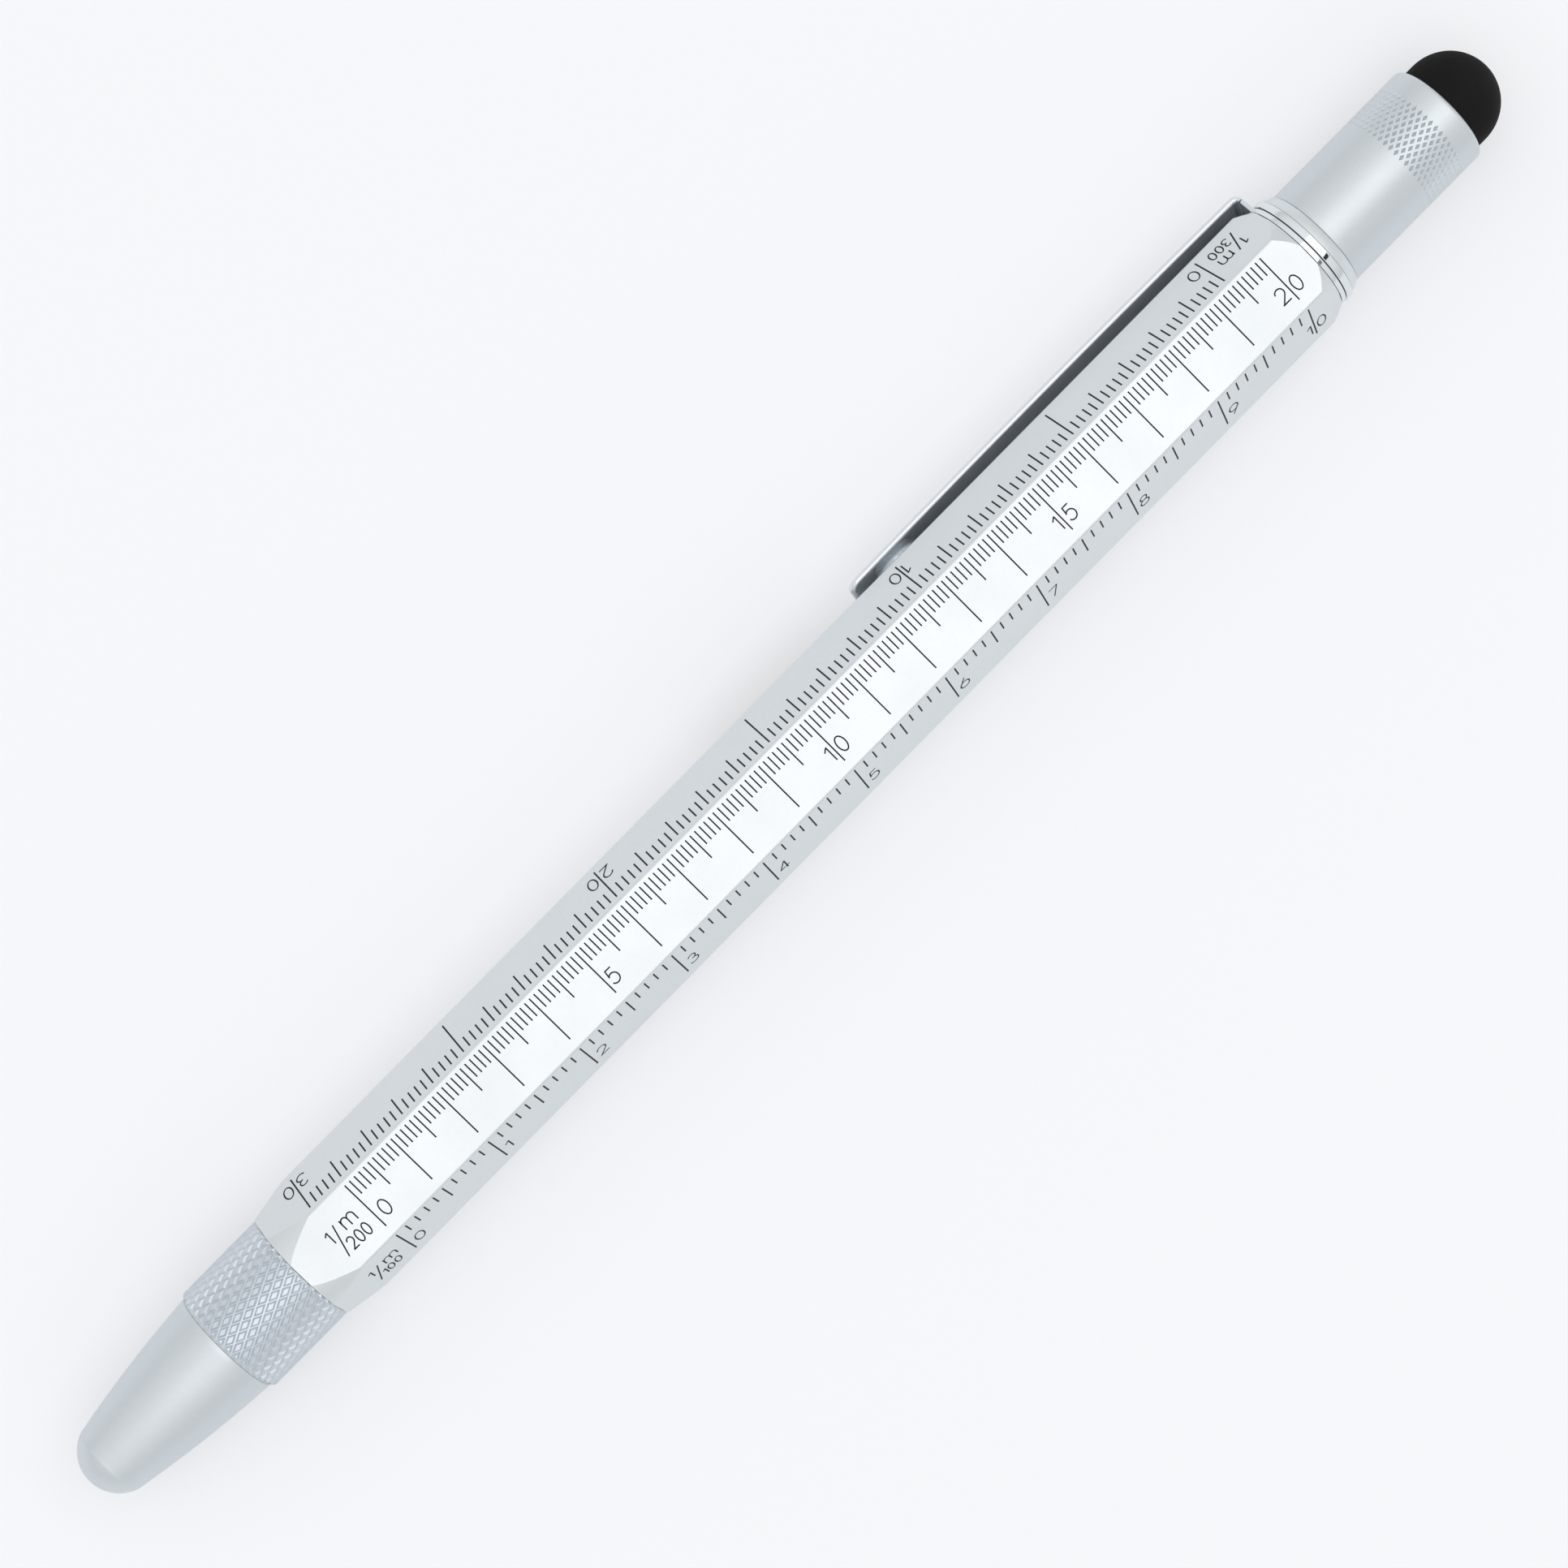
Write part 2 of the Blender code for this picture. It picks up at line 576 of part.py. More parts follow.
liquid = turned("level_liquid", [(liquid_start, 0), (liquid_start, plug_radius), (liquid_end, plug_radius),
                                 (liquid_end, 0)], small_segments, level_green, clip_side, vial_offset)
bubble_height = vial_offset + bubble_offset
level_middle = (vial_start + vial_end) / 2


def capsule(half_length, radius):
    """A rod with round ends about the level's middle."""
    front = arc(level_middle - half_length + radius, 0, radius, pi, pi / 2, 4)
    back = arc(level_middle + half_length - radius, 0, radius, pi / 2, 0, 4)
    return [(front[0][0], 0)] + front[1:] + back[:-1] + [(back[-1][0], 0)]


channel = capsule(bubble_length / 2 + bubble_travel + running_gap, bubble_radius + running_gap)
cut(liquid, cutter("bubble_channel", turned_bmesh(channel, small_segments, bubble_height), clip_side))
turned("level_bubble", capsule(bubble_length / 2, bubble_radius), small_segments, bubble_pale, clip_side,
       bubble_height)

# Clip ring with the tab that its arm springs from
clip_ring = turned("clip_ring", tube_outline(clip_ring_start, clip_ring_end, rear_bush_radius + fit_gap,
                                             clip_ring_radius), fine_segments, chrome, clip_side)
tab = box_bmesh((clip_ring_start, -clip_width / 2, barrel_bore_radius + clip_edge_bevel),
                (clip_ring_end, clip_width / 2, clip_tab_height))
tab_guide = cutter("clip_tab", tab, clip_side)
cut(clip_ring, tab_guide, "UNION")

# Clip arm: one strip up from the tab, round the bend and along the barrel to its round tip
clip_tip_x = clip_ring_end - clip_length
arm_start = clip_tab_height + running_gap
bend_x = clip_ring_end - clip_bend_radius
bend_reach = clip_outer_reach - clip_bend_radius
strip_middle = (bend_x + clip_tip_x) / 2
strip_half = (bend_x - clip_tip_x) / 2
path = [((clip_ring_end, arm_start), (clip_ring_start, arm_start))]
for i in range(6):
    angle = pi / 2 * i / 5
    inner_radius_x = clip_bend_radius - clip_ring_thickness
    inner_radius_z = clip_bend_radius - clip_thickness
    path.append(((bend_x + clip_bend_radius * cos(angle), bend_reach + clip_bend_radius * sin(angle)),
                 (bend_x + inner_radius_x * cos(angle), bend_reach + inner_radius_z * sin(angle))))
bump_x = clip_tip_x + clip_bump_place
bump_reach = clip_bump_length * bump_reach_share
strip_stations = [bend_x + (bump_x + bump_reach - bend_x) * i / 6 for i in range(1, 7)]
strip_stations += [bump_x + bump_reach * (1 - i / 5) for i in range(1, 11)]
strip_stations = [x for x in strip_stations if x > clip_tip_x + clip_tip_length]
strip_stations += [clip_tip_x + clip_tip_length * (1 - i / 6) for i in range(7)]
for x in strip_stations:
    rise = clip_bow * (1 - ((x - strip_middle) / strip_half) ** 2)
    path.append(((x, clip_outer_reach + rise), (x, clip_inner_reach + rise)))
side_share = 1 - 2 * clip_edge_bevel / clip_width
width_shares = [-1, -side_share, -0.6, -0.4, -0.2, 0, 0.2, 0.4, 0.6, side_share, 1]
bump_depth = clip_standoff - fit_gap
arm = bmesh.new()
sections = []
for (outer_x, outer_z), (inner_x, inner_z) in path:
    half_width = clip_width / 2
    if outer_x < clip_tip_x + clip_tip_length:
        t = 1 - (outer_x - clip_tip_x) / clip_tip_length
        half_width = clip_tip_width / 2 + (clip_width - clip_tip_width) / 2 * sqrt(max(0, 1 - t * t))
    loop = []
    for layer, shares in ((0, width_shares), (1, width_shares[::-1])):
        x, z = ((outer_x, outer_z), (inner_x, inner_z))[layer]
        other_x, other_z = ((inner_x, inner_z), (outer_x, outer_z))[layer]
        for share in shares:
            y = share * half_width
            dx = (x - bump_x) / (clip_bump_length / 2)
            dy = y / (clip_bump_width / 2)
            far = min(1, sqrt(dx * dx + dy * dy))
            sink = bump_depth * (0.5 + 0.5 * cos(pi * far))
            bevel = clip_edge_bevel / clip_thickness if abs(share) == 1 else 0
            loop.append(arm.verts.new((x + (other_x - x) * bevel, y, z + (other_z - z) * bevel - sink)))
    sections.append(loop)
count = len(sections[0])
for a, b in zip(sections, sections[1:]):
    for k in range(count):
        n = (k + 1) % count
        arm.faces.new((a[k], a[n], b[n], b[k]))
for loop in (sections[0], sections[-1]):
    half = len(width_shares)
    for k in range(half - 1):
        arm.faces.new((loop[k], loop[k + 1], loop[count - 2 - k], loop[count - 1 - k]))
flex_place = ((clip_ring_start + clip_ring_end) / 2, 0, arm_start - running_gap / 2)
piece("clip_arm", arm, chrome, clip_side, flex_place)

# Trim ring, rear bush with the bit's socket, and the magnet at its end
trim_bore = rear_bush_radius + fit_gap
trim = [(trim_start, trim_bore), (trim_start, trim_radius), (trim_start + trim_band_length, trim_radius)]
trim += [(trim_start + trim_band_length, trim_radius - fit_gap), (trim_end, trim_cone_end_radius)]
trim += [(trim_end, trim_bore)]
turned("trim_ring", trim, fine_segments, trim_chrome, pen)
socket_end = rear_bush_start + rear_bush_end_wall
bush = [(rear_bush_start, 0), (rear_bush_start, rear_bush_radius), (rear_bush_end, rear_bush_radius)]
bush += [(rear_bush_end, magnet_radius + fit_gap), (socket_end, magnet_radius + fit_gap), (socket_end, 0)]
rear_bush = turned("rear_bush", bush, plain_segments, brass, pen)
socket_start = magnet_start + magnet_length + fit_gap
socket = hexagon_bmesh(socket_start, rear_bush_end + cut_overrun, socket_flats)
cut(rear_bush, cutter("bit_socket", socket, pen))
magnet = [(magnet_start, 0), (magnet_start, magnet_radius), (magnet_start + magnet_length, magnet_radius)]
turned("bit_magnet", magnet + [(magnet_start + magnet_length, 0)], small_segments, steel, pen)

# Screwdriver bit: a hexagon turned down to two necks, with a flat blade and a cross point
bit_end = bit_start + bit_length
neck = (bit_length - bit_shank_length) / 2
shank = hexagon_bmesh(bit_start, bit_end, bit_flats)
bit = piece("screwdriver_bit", shank, tool_steel, pen, (bit_start, 0, 0))
shank_reach = bit_flats / 2 / cos(pi / 6) + fit_gap
lathe = [(bit_start, 0), (bit_start, bit_point_radius), (bit_start + bit_point_length, bit_neck_radius)]
lathe += [(bit_start + neck, bit_neck_radius), (bit_start + neck + bit_neck_chamfer, shank_reach)]
lathe += [(bit_end - neck - bit_neck_chamfer, shank_reach), (bit_end - neck, bit_neck_radius)]
lathe += [(bit_end, bit_neck_radius), (bit_end, 0)]
cut(bit, cutter("bit_turned", turned_bmesh(lathe, plain_segments), pen), "INTERSECT")
for side in (-1, 1):
    wedge = bmesh.new()
    tip_gap = side * bit_blade_thickness / 2
    full = side * (bit_neck_radius + cut_overrun)
    blade_root = bit_end - bit_blade_length
    corners = [(bit_end + cut_overrun, tip_gap), (bit_end, tip_gap), (blade_root, side * bit_neck_radius)]
    corners += [(blade_root, full), (bit_end + cut_overrun, full)]
    sides = (-2 * bit_neck_radius, 2 * bit_neck_radius)
    faces = [[wedge.verts.new((x, y, z)) for x, z in corners] for y in sides]
    for face in faces:
        wedge.faces.new(face)
    for k in range(len(corners)):
        n = (k + 1) % len(corners)
        wedge.faces.new((faces[0][k], faces[0][n], faces[1][n], faces[1][k]))
    cut(bit, cutter(f"blade_flat_{side + 1}", wedge, pen))
for k in range(4):
    flute = box_bmesh((-cut_overrun, -bit_flute_width / 2, -bit_flute_width / 2),
                      (bit_point_length, bit_flute_width / 2, bit_flute_width / 2))
    bmesh.ops.rotate(flute, verts=flute.verts, cent=(0, 0, 0), matrix=Matrix.Rotation(pi / 4, 3, "X"))
    offset = bit_flute_width / 2 + bit_neck_radius * bit_flute_depth_share
    bmesh.ops.translate(flute, verts=flute.verts, vec=(bit_start, 0, offset))
    turn = Matrix.Rotation(k * pi / 2 + pi / 4, 3, "X")
    bmesh.ops.rotate(flute, verts=flute.verts, cent=(0, 0, 0), matrix=turn)
    cut(bit, cutter(f"cross_flute_{k}", flute, pen))

# Stylus cap: a tube with a fine knurled band and a rounded front edge
bands, starts = knurl_rows(stylus_end - band_start, stylus_end - band_start + band_length, stylus_cap_radius,
                           band_knurl_pitch, band_knurl_angle)
mouth_bore = rubber_radius + fit_gap
rows = [(stylus_start, stylus_thread_bore), (stylus_start, stylus_cap_radius)] + bands
rows += [(x, r) for x, r in arc(stylus_end - stylus_cap_fillet, stylus_cap_radius - stylus_cap_fillet,
                                stylus_cap_fillet, pi / 2, 0, 2)]
rows += [(stylus_end, mouth_bore), (rubber_seat, mouth_bore), (rubber_seat, stylus_cap_bore_radius)]
rows += [(stylus_start + stylus_thread_depth, stylus_cap_bore_radius)]
rows += [(stylus_start + stylus_thread_depth, stylus_thread_bore)]
knurled("stylus_cap", rows, 2, 1 + len(bands), starts, band_knurl_depth, cap_silver, pen)

# Rubber dome and the core tube that holds it open
dome_centre = stylus_end + rubber_reach - rubber_radius
rubber_start = rubber_seat + fit_gap
hollow = rubber_radius - rubber_wall
rubber = [(dome_centre + hollow, 0)] + arc(dome_centre, 0, hollow, 0, pi / 2, 5)[1:]
rubber += [(rubber_start, hollow)]
rubber += [(rubber_start, rubber_radius)] + arc(dome_centre, 0, rubber_radius, pi / 2, 0, 8)[:-1]
rubber += [(dome_centre + rubber_radius, 0)]
turned("stylus_tip", rubber, fine_segments, black_rubber, pen)
core_radius = hollow - running_gap
core_end = core_start + core_length
flange_stop = rubber_start - running_gap
flange_start = flange_stop - core_flange_length
core = [(core_start, core_radius - core_wall), (core_start, core_radius)]
core += [(flange_start, core_radius), (flange_start, core_flange_radius)]
core += [(flange_stop, core_flange_radius), (flange_stop, core_radius), (core_end, core_radius)]
core += [(core_end, core_radius - core_wall)]
turned("stylus_core", core, plain_segments, white_plastic, pen)

# Stand the pen on the desk with its box centred on the origin
bpy.context.view_layer.update()
graph = bpy.context.evaluated_depsgraph_get()
points = []
for obj in bpy.data.objects:
    if obj.type == "MESH" and not obj.hide_render:
        shown = obj.evaluated_get(graph)
        points += [shown.matrix_world @ vert.co for vert in shown.data.vertices]
low = Vector(min(p[axis] for p in points) for axis in range(3))
high = Vector(max(p[axis] for p in points) for axis in range(3))
pen.location = (-(low.x + high.x) / 2, -(low.y + high.y) / 2, -low.z)
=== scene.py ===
# Multi tool pen, dressed for its picture: a satin hexagonal barrel with printed scales, a knurled cap over
# the nib, a sprung clip, and a cap with a rubber stylus over the screwdriver bit.
# Pen frame: X runs along the pen to the stylus, the barrel's front face is X = 0, Z leaves its top face.
# Sizes of the pieces are in millimetres, places of the stage, lamp and camera in metres, angles in degrees.
import json
from math import asin, atan2, cos, hypot, pi, radians, sin, sqrt, tan

import bpy
from mathutils import Matrix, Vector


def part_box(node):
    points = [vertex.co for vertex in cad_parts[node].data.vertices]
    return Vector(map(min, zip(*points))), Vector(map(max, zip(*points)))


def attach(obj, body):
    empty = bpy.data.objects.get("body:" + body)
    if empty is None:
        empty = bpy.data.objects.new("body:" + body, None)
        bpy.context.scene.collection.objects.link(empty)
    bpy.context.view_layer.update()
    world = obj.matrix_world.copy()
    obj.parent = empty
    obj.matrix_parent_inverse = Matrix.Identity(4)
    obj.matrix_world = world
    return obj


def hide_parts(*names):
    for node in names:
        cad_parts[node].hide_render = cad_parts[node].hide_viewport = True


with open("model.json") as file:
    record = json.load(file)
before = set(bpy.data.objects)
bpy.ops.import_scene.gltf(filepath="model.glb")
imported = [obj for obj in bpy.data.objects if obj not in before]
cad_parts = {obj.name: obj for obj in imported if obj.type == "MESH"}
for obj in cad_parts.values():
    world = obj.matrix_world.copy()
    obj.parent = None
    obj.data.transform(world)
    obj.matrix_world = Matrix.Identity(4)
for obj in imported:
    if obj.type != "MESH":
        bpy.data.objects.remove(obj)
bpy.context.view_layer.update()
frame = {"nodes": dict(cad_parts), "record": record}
mm = 0.001
weldGap = mm / 1000  # points nearer than this are one point
carveGap = mm / 400  # the same after a cut, which leaves its points less exact
pickGap = mm / 200  # how far a point may be from its place and still be picked

# Where the pen lies: its axis through the round cap, its roll from the mount on its top face
capLow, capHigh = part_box("nib_cap")
topNormal = frame["record"]["mounts"][0]["axis"]
roll = atan2(-topNormal[1], topNormal[2])
axisPoint = (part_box("barrel")[0].x, (capLow.y + capHigh.y) / 2, (capLow.z + capHigh.z) / 2)
penPlace = Matrix.Translation(axisPoint) @ Matrix.Rotation(roll, 4, "X")
clipTurn = Matrix.Rotation(radians(-120), 4, "X")  # from the top flat round to the clip's flat
clipPlace = penPlace @ clipTurn


def pull(sizes, names):  # the named values, in that order
    return [sizes[name] for name in names.split()]


def objectMode():
    bpy.ops.object.mode_set(mode="OBJECT")


def applyPlace():
    bpy.ops.object.transform_apply(location=True, rotation=True, scale=True)


def clearSelection():
    if bpy.context.mode != "OBJECT":
        objectMode()
    bpy.ops.object.select_all(action="DESELECT")


def activate(piece):
    clearSelection()
    piece.select_set(True)
    bpy.context.view_layer.objects.active = piece


def editAll(piece):
    activate(piece)
    bpy.ops.object.mode_set(mode="EDIT")
    bpy.ops.mesh.select_mode(type="VERT")
    bpy.ops.mesh.select_all(action="SELECT")


def mend(piece):  # makes near points one and turns the faces outwards
    editAll(piece)
    bpy.ops.mesh.remove_doubles(threshold=weldGap)
    bpy.ops.mesh.normals_make_consistent(inside=False)
    objectMode()


def pick(piece, kind, test):  # selects what passes the test and stays in edit mode
    editAll(piece)
    bpy.ops.mesh.select_mode(type=kind)
    bpy.ops.mesh.select_all(action="DESELECT")
    objectMode()
    items = {"VERT": piece.data.vertices, "EDGE": piece.data.edges, "FACE": piece.data.polygons}[kind]
    for item in items:
        item.select = test(item)
    bpy.ops.object.mode_set(mode="EDIT")


def finishWith(piece, kind, **settings):
    activate(piece)
    step = piece.modifiers.new(kind.title(), kind)
    for key, value in settings.items():
        setattr(step, key, value)
    bpy.ops.object.modifier_apply(modifier=step.name)


def carve(piece, guide, operation="DIFFERENCE"):
    finishWith(piece, "BOOLEAN", object=guide, operation=operation, solver="EXACT")
    bpy.data.objects.remove(guide, do_unlink=True)
    editAll(piece)
    bpy.ops.mesh.remove_doubles(threshold=carveGap)
    objectMode()


def cutAcross(piece, x, side=1, **options):
    editAll(piece)
    bpy.ops.mesh.bisect(plane_co=(x * mm, 0, 0), plane_no=(side, 0, 0), threshold=weldGap, **options)
    objectMode()


def softenEdges(piece, width, segments=2, angle=40):
    finishWith(piece, "BEVEL", width=width * mm, segments=segments, limit_method="ANGLE",
               angle_limit=radians(angle), use_clamp_overlap=True)


def joinAll(pieces):
    clearSelection()
    for piece in pieces:
        piece.select_set(True)
    bpy.context.view_layer.objects.active = pieces[0]
    bpy.ops.object.join()
    return bpy.context.object


def settle(piece, name, body, material, nodes=(), place=penPlace, crispFrom=32):
    piece.data.transform(place)
    piece.name = name
    piece.data.name = name
    piece.data.materials.clear()
    piece.data.materials.append(material)
    activate(piece)
    bpy.ops.object.shade_smooth_by_angle(angle=radians(crispFrom))
    finishWith(piece, "WEIGHTED_NORMAL", keep_sharp=True)
    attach(piece, body)
    if nodes:
        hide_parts(*nodes)
    print(f"{name}: {len(piece.data.polygons)} faces")


def arc(centreX, centreRadius, radius, first, last, steps):  # angle 0 points along X, 90 outwards
    points = []
    for i in range(steps + 1):
        angle = radians(first + (last - first) * i / steps)
        points.append((centreX + radius * cos(angle), centreRadius + radius * sin(angle)))
    return points


def stepped(x, *parts):  # cylinders in a row, each given by its radius and the x where it ends
    points = []
    for radius, end in parts:
        points += [(x, radius), (end, radius)]
        x = end
    return points


def tube(start, end, inner, outer):
    return [(start, inner)] + stepped(start, (outer, end)) + [(end, inner)]

def lathe(outline, turns=192, openEnds=False):
    # One point is drawn out along the outline of (x, radius) points, then spun round the pen's axis
    clearSelection()
    bpy.ops.mesh.primitive_plane_add(size=mm)
    piece = bpy.context.object
    editAll(piece)
    bpy.ops.mesh.merge(type="CENTER")
    x, radius = outline[0]
    bpy.ops.transform.translate(value=(x * mm, 0, radius * mm))
    closing = [] if openEnds or max(radius, outline[-1][1]) == 0 else outline[:1]
    for nextX, nextRadius in outline[1:] + closing:
        move = ((nextX - x) * mm, 0, (nextRadius - radius) * mm)
        bpy.ops.mesh.extrude_vertices_move(TRANSFORM_OT_translate={"value": move})
        x, radius = nextX, nextRadius
    bpy.ops.mesh.select_all(action="SELECT")
    bpy.ops.mesh.spin(steps=turns, angle=2 * pi, center=(0, 0, 0), axis=(1, 0, 0))
    mend(piece)
    return piece


def turnedTube(sizes, turns=96, segments=2):
    piece = lathe(tube(*pull(sizes, "start end bore radius")), turns)
    softenEdges(piece, sizes["edge"], segments)
    return piece


def hexRod(start, end, flats):  # a hexagon along X with a flat on top
    clearSelection()
    middle = ((start + end) / 2 * mm, 0, 0)
    bpy.ops.mesh.primitive_cylinder_add(vertices=6, radius=flats / 2 / cos(pi / 6) * mm,
                                        depth=(end - start) * mm, location=middle, rotation=(0, pi / 2, 0))
    applyPlace()
    return bpy.context.object


def block(low, high):
    clearSelection()
    middle = [(a + b) / 2 * mm for a, b in zip(low, high)]
    size = [(b - a) * mm for a, b in zip(low, high)]
    bpy.ops.mesh.primitive_cube_add(size=1, location=middle, scale=size)
    applyPlace()
    return bpy.context.object


# Finishes: how far the noise shifts each colour and roughness, and the size of its broad smudges
noiseSettings = dict(low=0.3, high=0.7, darker=0.96, paler=1.06, lift=0.002, glossier=0.92, duller=1.08,
                     metalSmudge=6.0, plasticSmudge=4.0)


def newMaterial(name, sockets):
    material = bpy.data.materials.new(name)
    material.use_nodes = True
    shader = material.node_tree.nodes["Principled BSDF"]
    for socket, value in sockets.items():
        shader.inputs[socket].default_value = value
    return material, material.node_tree.nodes, material.node_tree.links, shader


def noiseAt(nodes, links, size, detail=2.0):
    coords = nodes.new("ShaderNodeTexCoord")
    noise = nodes.new("ShaderNodeTexNoise")
    noise.inputs["Scale"].default_value = 1 / (size * mm)
    noise.inputs["Detail"].default_value = detail
    links.new(coords.outputs["Object"], noise.inputs["Vector"])
    return noise.outputs["Fac"]


def addGrain(nodes, links, shader, size, depth):
    bump = nodes.new("ShaderNodeBump")
    bump.inputs["Distance"].default_value = depth * mm
    links.new(noiseAt(nodes, links, size, 3.0), bump.inputs["Height"])
    links.new(bump.outputs["Normal"], shader.inputs["Normal"])


def addSpread(nodes, links, fac, low, high, socket):
    spread = nodes.new("ShaderNodeMapRange")
    ends = (noiseSettings["low"], noiseSettings["high"], low, high)
    for name, value in zip(("From Min", "From Max", "To Min", "To Max"), ends):
        spread.inputs[name].default_value = value
    links.new(fac, spread.inputs["Value"])
    links.new(spread.outputs["Result"], socket)


def addTint(nodes, links, fac, first, second, socket):
    tint = nodes.new("ShaderNodeMix")
    tint.data_type = "RGBA"
    tint.inputs["A"].default_value = (*first, 1)
    tint.inputs["B"].default_value = (*second, 1)
    links.new(fac, tint.inputs["Factor"])
    links.new(tint.outputs["Result"], socket)


def metal(name, colour, roughness, grain, grainDepth, unevenness=0.03, metallic=1.0):
    material, nodes, links, shader = newMaterial(name, {"Metallic": metallic})
    darker = [c * noiseSettings["darker"] for c in colour]
    broad = noiseAt(nodes, links, noiseSettings["metalSmudge"])
    addTint(nodes, links, noiseAt(nodes, links, grain * 3), darker, colour, shader.inputs["Base Color"])
    addSpread(nodes, links, broad, roughness - unevenness, roughness + unevenness, shader.inputs["Roughness"])
    if grainDepth:
        addGrain(nodes, links, shader, grain, grainDepth)
    return material


def plastic(name, colour, roughness, grain, grainDepth, sockets=None):
    material, nodes, links, shader = newMaterial(name, sockets or {})
    paler = [min(1, c * noiseSettings["paler"] + noiseSettings["lift"]) for c in colour]
    addTint(nodes, links, noiseAt(nodes, links, grain * 4), colour, paler, shader.inputs["Base Color"])
    addSpread(nodes, links, noiseAt(nodes, links, noiseSettings["plasticSmudge"]),
              roughness * noiseSettings["glossier"], roughness * noiseSettings["duller"],
              shader.inputs["Roughness"])
    addGrain(nodes, links, shader, grain, grainDepth)
    return material


def clearPlastic(name, colour, roughness, grain, share, ior):
    return plastic(name, colour, roughness, grain, 0.0001, {"Transmission Weight": share, "IOR": ior})


# Each finish: its name, colour, roughness, and the size and depth of its grain
satinSilver = metal("satinSilver", (0.742, 0.785, 0.80), 0.42, 0.14, 0.0012)
capSilver = metal("capSilver", (0.672, 0.72, 0.745), 0.45, 0.14, 0.0028)
knurlSilver = metal("knurlSilver", (0.65, 0.705, 0.75), 0.42, 0.12, 0.0008)
chrome = metal("chrome", (0.77, 0.81, 0.85), 0.08, 0.3, 0, unevenness=0.015, metallic=0.8)
trimChrome = metal("trimChrome", (0.77, 0.82, 0.83), 0.07, 0.3, 0, unevenness=0.015)
nibSteel = metal("nibSteel", (0.72, 0.73, 0.74), 0.16, 0.2, 0.0004)
toolSteel = metal("toolSteel", (0.46, 0.47, 0.49), 0.32, 0.16, 0.0020)
brass = metal("brass", (0.80, 0.62, 0.30), 0.28, 0.2, 0.0010)
blackRubber = plastic("blackRubber", (0.0075, 0.0075, 0.008), 0.8, 0.10, 0.006, {"Specular IOR Level": 0.12})
blackPlastic = plastic("blackPlastic", (0.016, 0.016, 0.018), 0.34, 0.2, 0.001)
whitePlastic = plastic("whitePlastic", (0.74, 0.74, 0.71), 0.42, 0.2, 0.001)
inkPlastic = plastic("inkPlastic", (0.03, 0.07, 0.26), 0.14, 0.4, 0.0006, {"Coat Weight": 0.4})
scaleInk = plastic("scaleInk", (0.010, 0.010, 0.012), 0.5, 0.1, 0.001, {"Specular IOR Level": 0.2})
clearTube = clearPlastic("clearTube", (0.95, 0.98, 0.97), 0.03, 1.0, share=1.0, ior=1.47)
levelGreen = clearPlastic("levelGreen", (0.50, 0.86, 0.16), 0.05, 2.0, share=0.7, ior=1.36)
bubblePale = clearPlastic("bubblePale", (0.92, 0.98, 0.78), 0.06, 1.0, share=0.5, ior=1.10)
print("finishes made")

# Barrel
barrelSizes = dict(length=110.2, flats=10.0, edgeRadius=0.3, edgeSteps=12, boreRadius=3.7, seatRadius=4.06,
                   seatDepth=9.12, frontChamfer=3.9, frontRadius=5.12, rearChamfer=1.4, rearRadius=5.08,
                   overrun=1.0, windowStart=50.9, windowEnd=64.1, windowHalfWidth=1.7, windowFloor=2.55,
                   windowCorner=0.8, windowSteps=6, crossCuts=[5.0, 49.9, 65.1, 107.8], rim=0.05)


def windowGuide(sizes):
    start, end, halfWidth, floor = pull(sizes, "windowStart windowEnd windowHalfWidth windowFloor")
    guide = block((start, -halfWidth, floor), (end, halfWidth, sizes["flats"]))
    verts = guide.data.vertices
    pick(guide, "EDGE", lambda e: abs(verts[e.vertices[0]].co.z - verts[e.vertices[1]].co.z) > mm)
    bpy.ops.mesh.bevel(offset=sizes["windowCorner"] * mm, segments=sizes["windowSteps"], affect="EDGES")
    objectMode()
    guide.data.transform(clipTurn)
    return guide


def makeBarrel(sizes):
    length, overrun, front, rear = pull(sizes, "length overrun frontChamfer rearChamfer")
    corner = sizes["flats"] / 2 / cos(pi / 6)
    barrel = hexRod(-overrun, length + overrun, sizes["flats"])
    verts = barrel.data.vertices
    pick(barrel, "EDGE", lambda e: abs(verts[e.vertices[0]].co.x - verts[e.vertices[1]].co.x) > mm)
    bpy.ops.mesh.bevel(offset=sizes["edgeRadius"] * tan(pi / 6) * mm, segments=sizes["edgeSteps"],
                       affect="EDGES")
    ends = [(0, 0), (0, sizes["frontRadius"]), (front, corner), (front + overrun, corner + overrun),
            (length - rear - overrun, corner + overrun), (length - rear, corner),
            (length, sizes["rearRadius"]), (length, 0)]
    carve(barrel, lathe(ends, turns=240), "INTERSECT")
    seat = pull(sizes, "seatRadius seatDepth")
    bore = stepped(-overrun, seat, (sizes["boreRadius"], length + overrun))
    carve(barrel, lathe([(-overrun, 0)] + bore + [(length + overrun, 0)], turns=96))
    carve(barrel, windowGuide(sizes))
    for x in sizes["crossCuts"]:  # they keep the flats' shading clear of the ends and the window
        cutAcross(barrel, x)
    softenEdges(barrel, sizes["rim"], angle=50)
    return barrel


settle(makeBarrel(barrelSizes), "hexBarrel", "barrel", satinSilver, ["barrel"], crispFrom=7)

# Knurls: a lattice of diamonds cut by two families of grooves round the pen
ringKnurl = dict(starts=38, period=1.583, radius=4.86, relief=0.17, wideGroove=0.066, thinGroove=0.037,
                 flank=0.13, rowAt=-4.07, start=-7.92, end=-0.22, cutRows=True, turn=0)
bandKnurl = dict(starts=50, period=0.997, radius=4.58, relief=-0.18, wideGroove=0.1, thinGroove=0.095,
                 flank=0.13, rowAt=122.704, start=120.42, end=124.49, cutRows=False, turn=2.4)


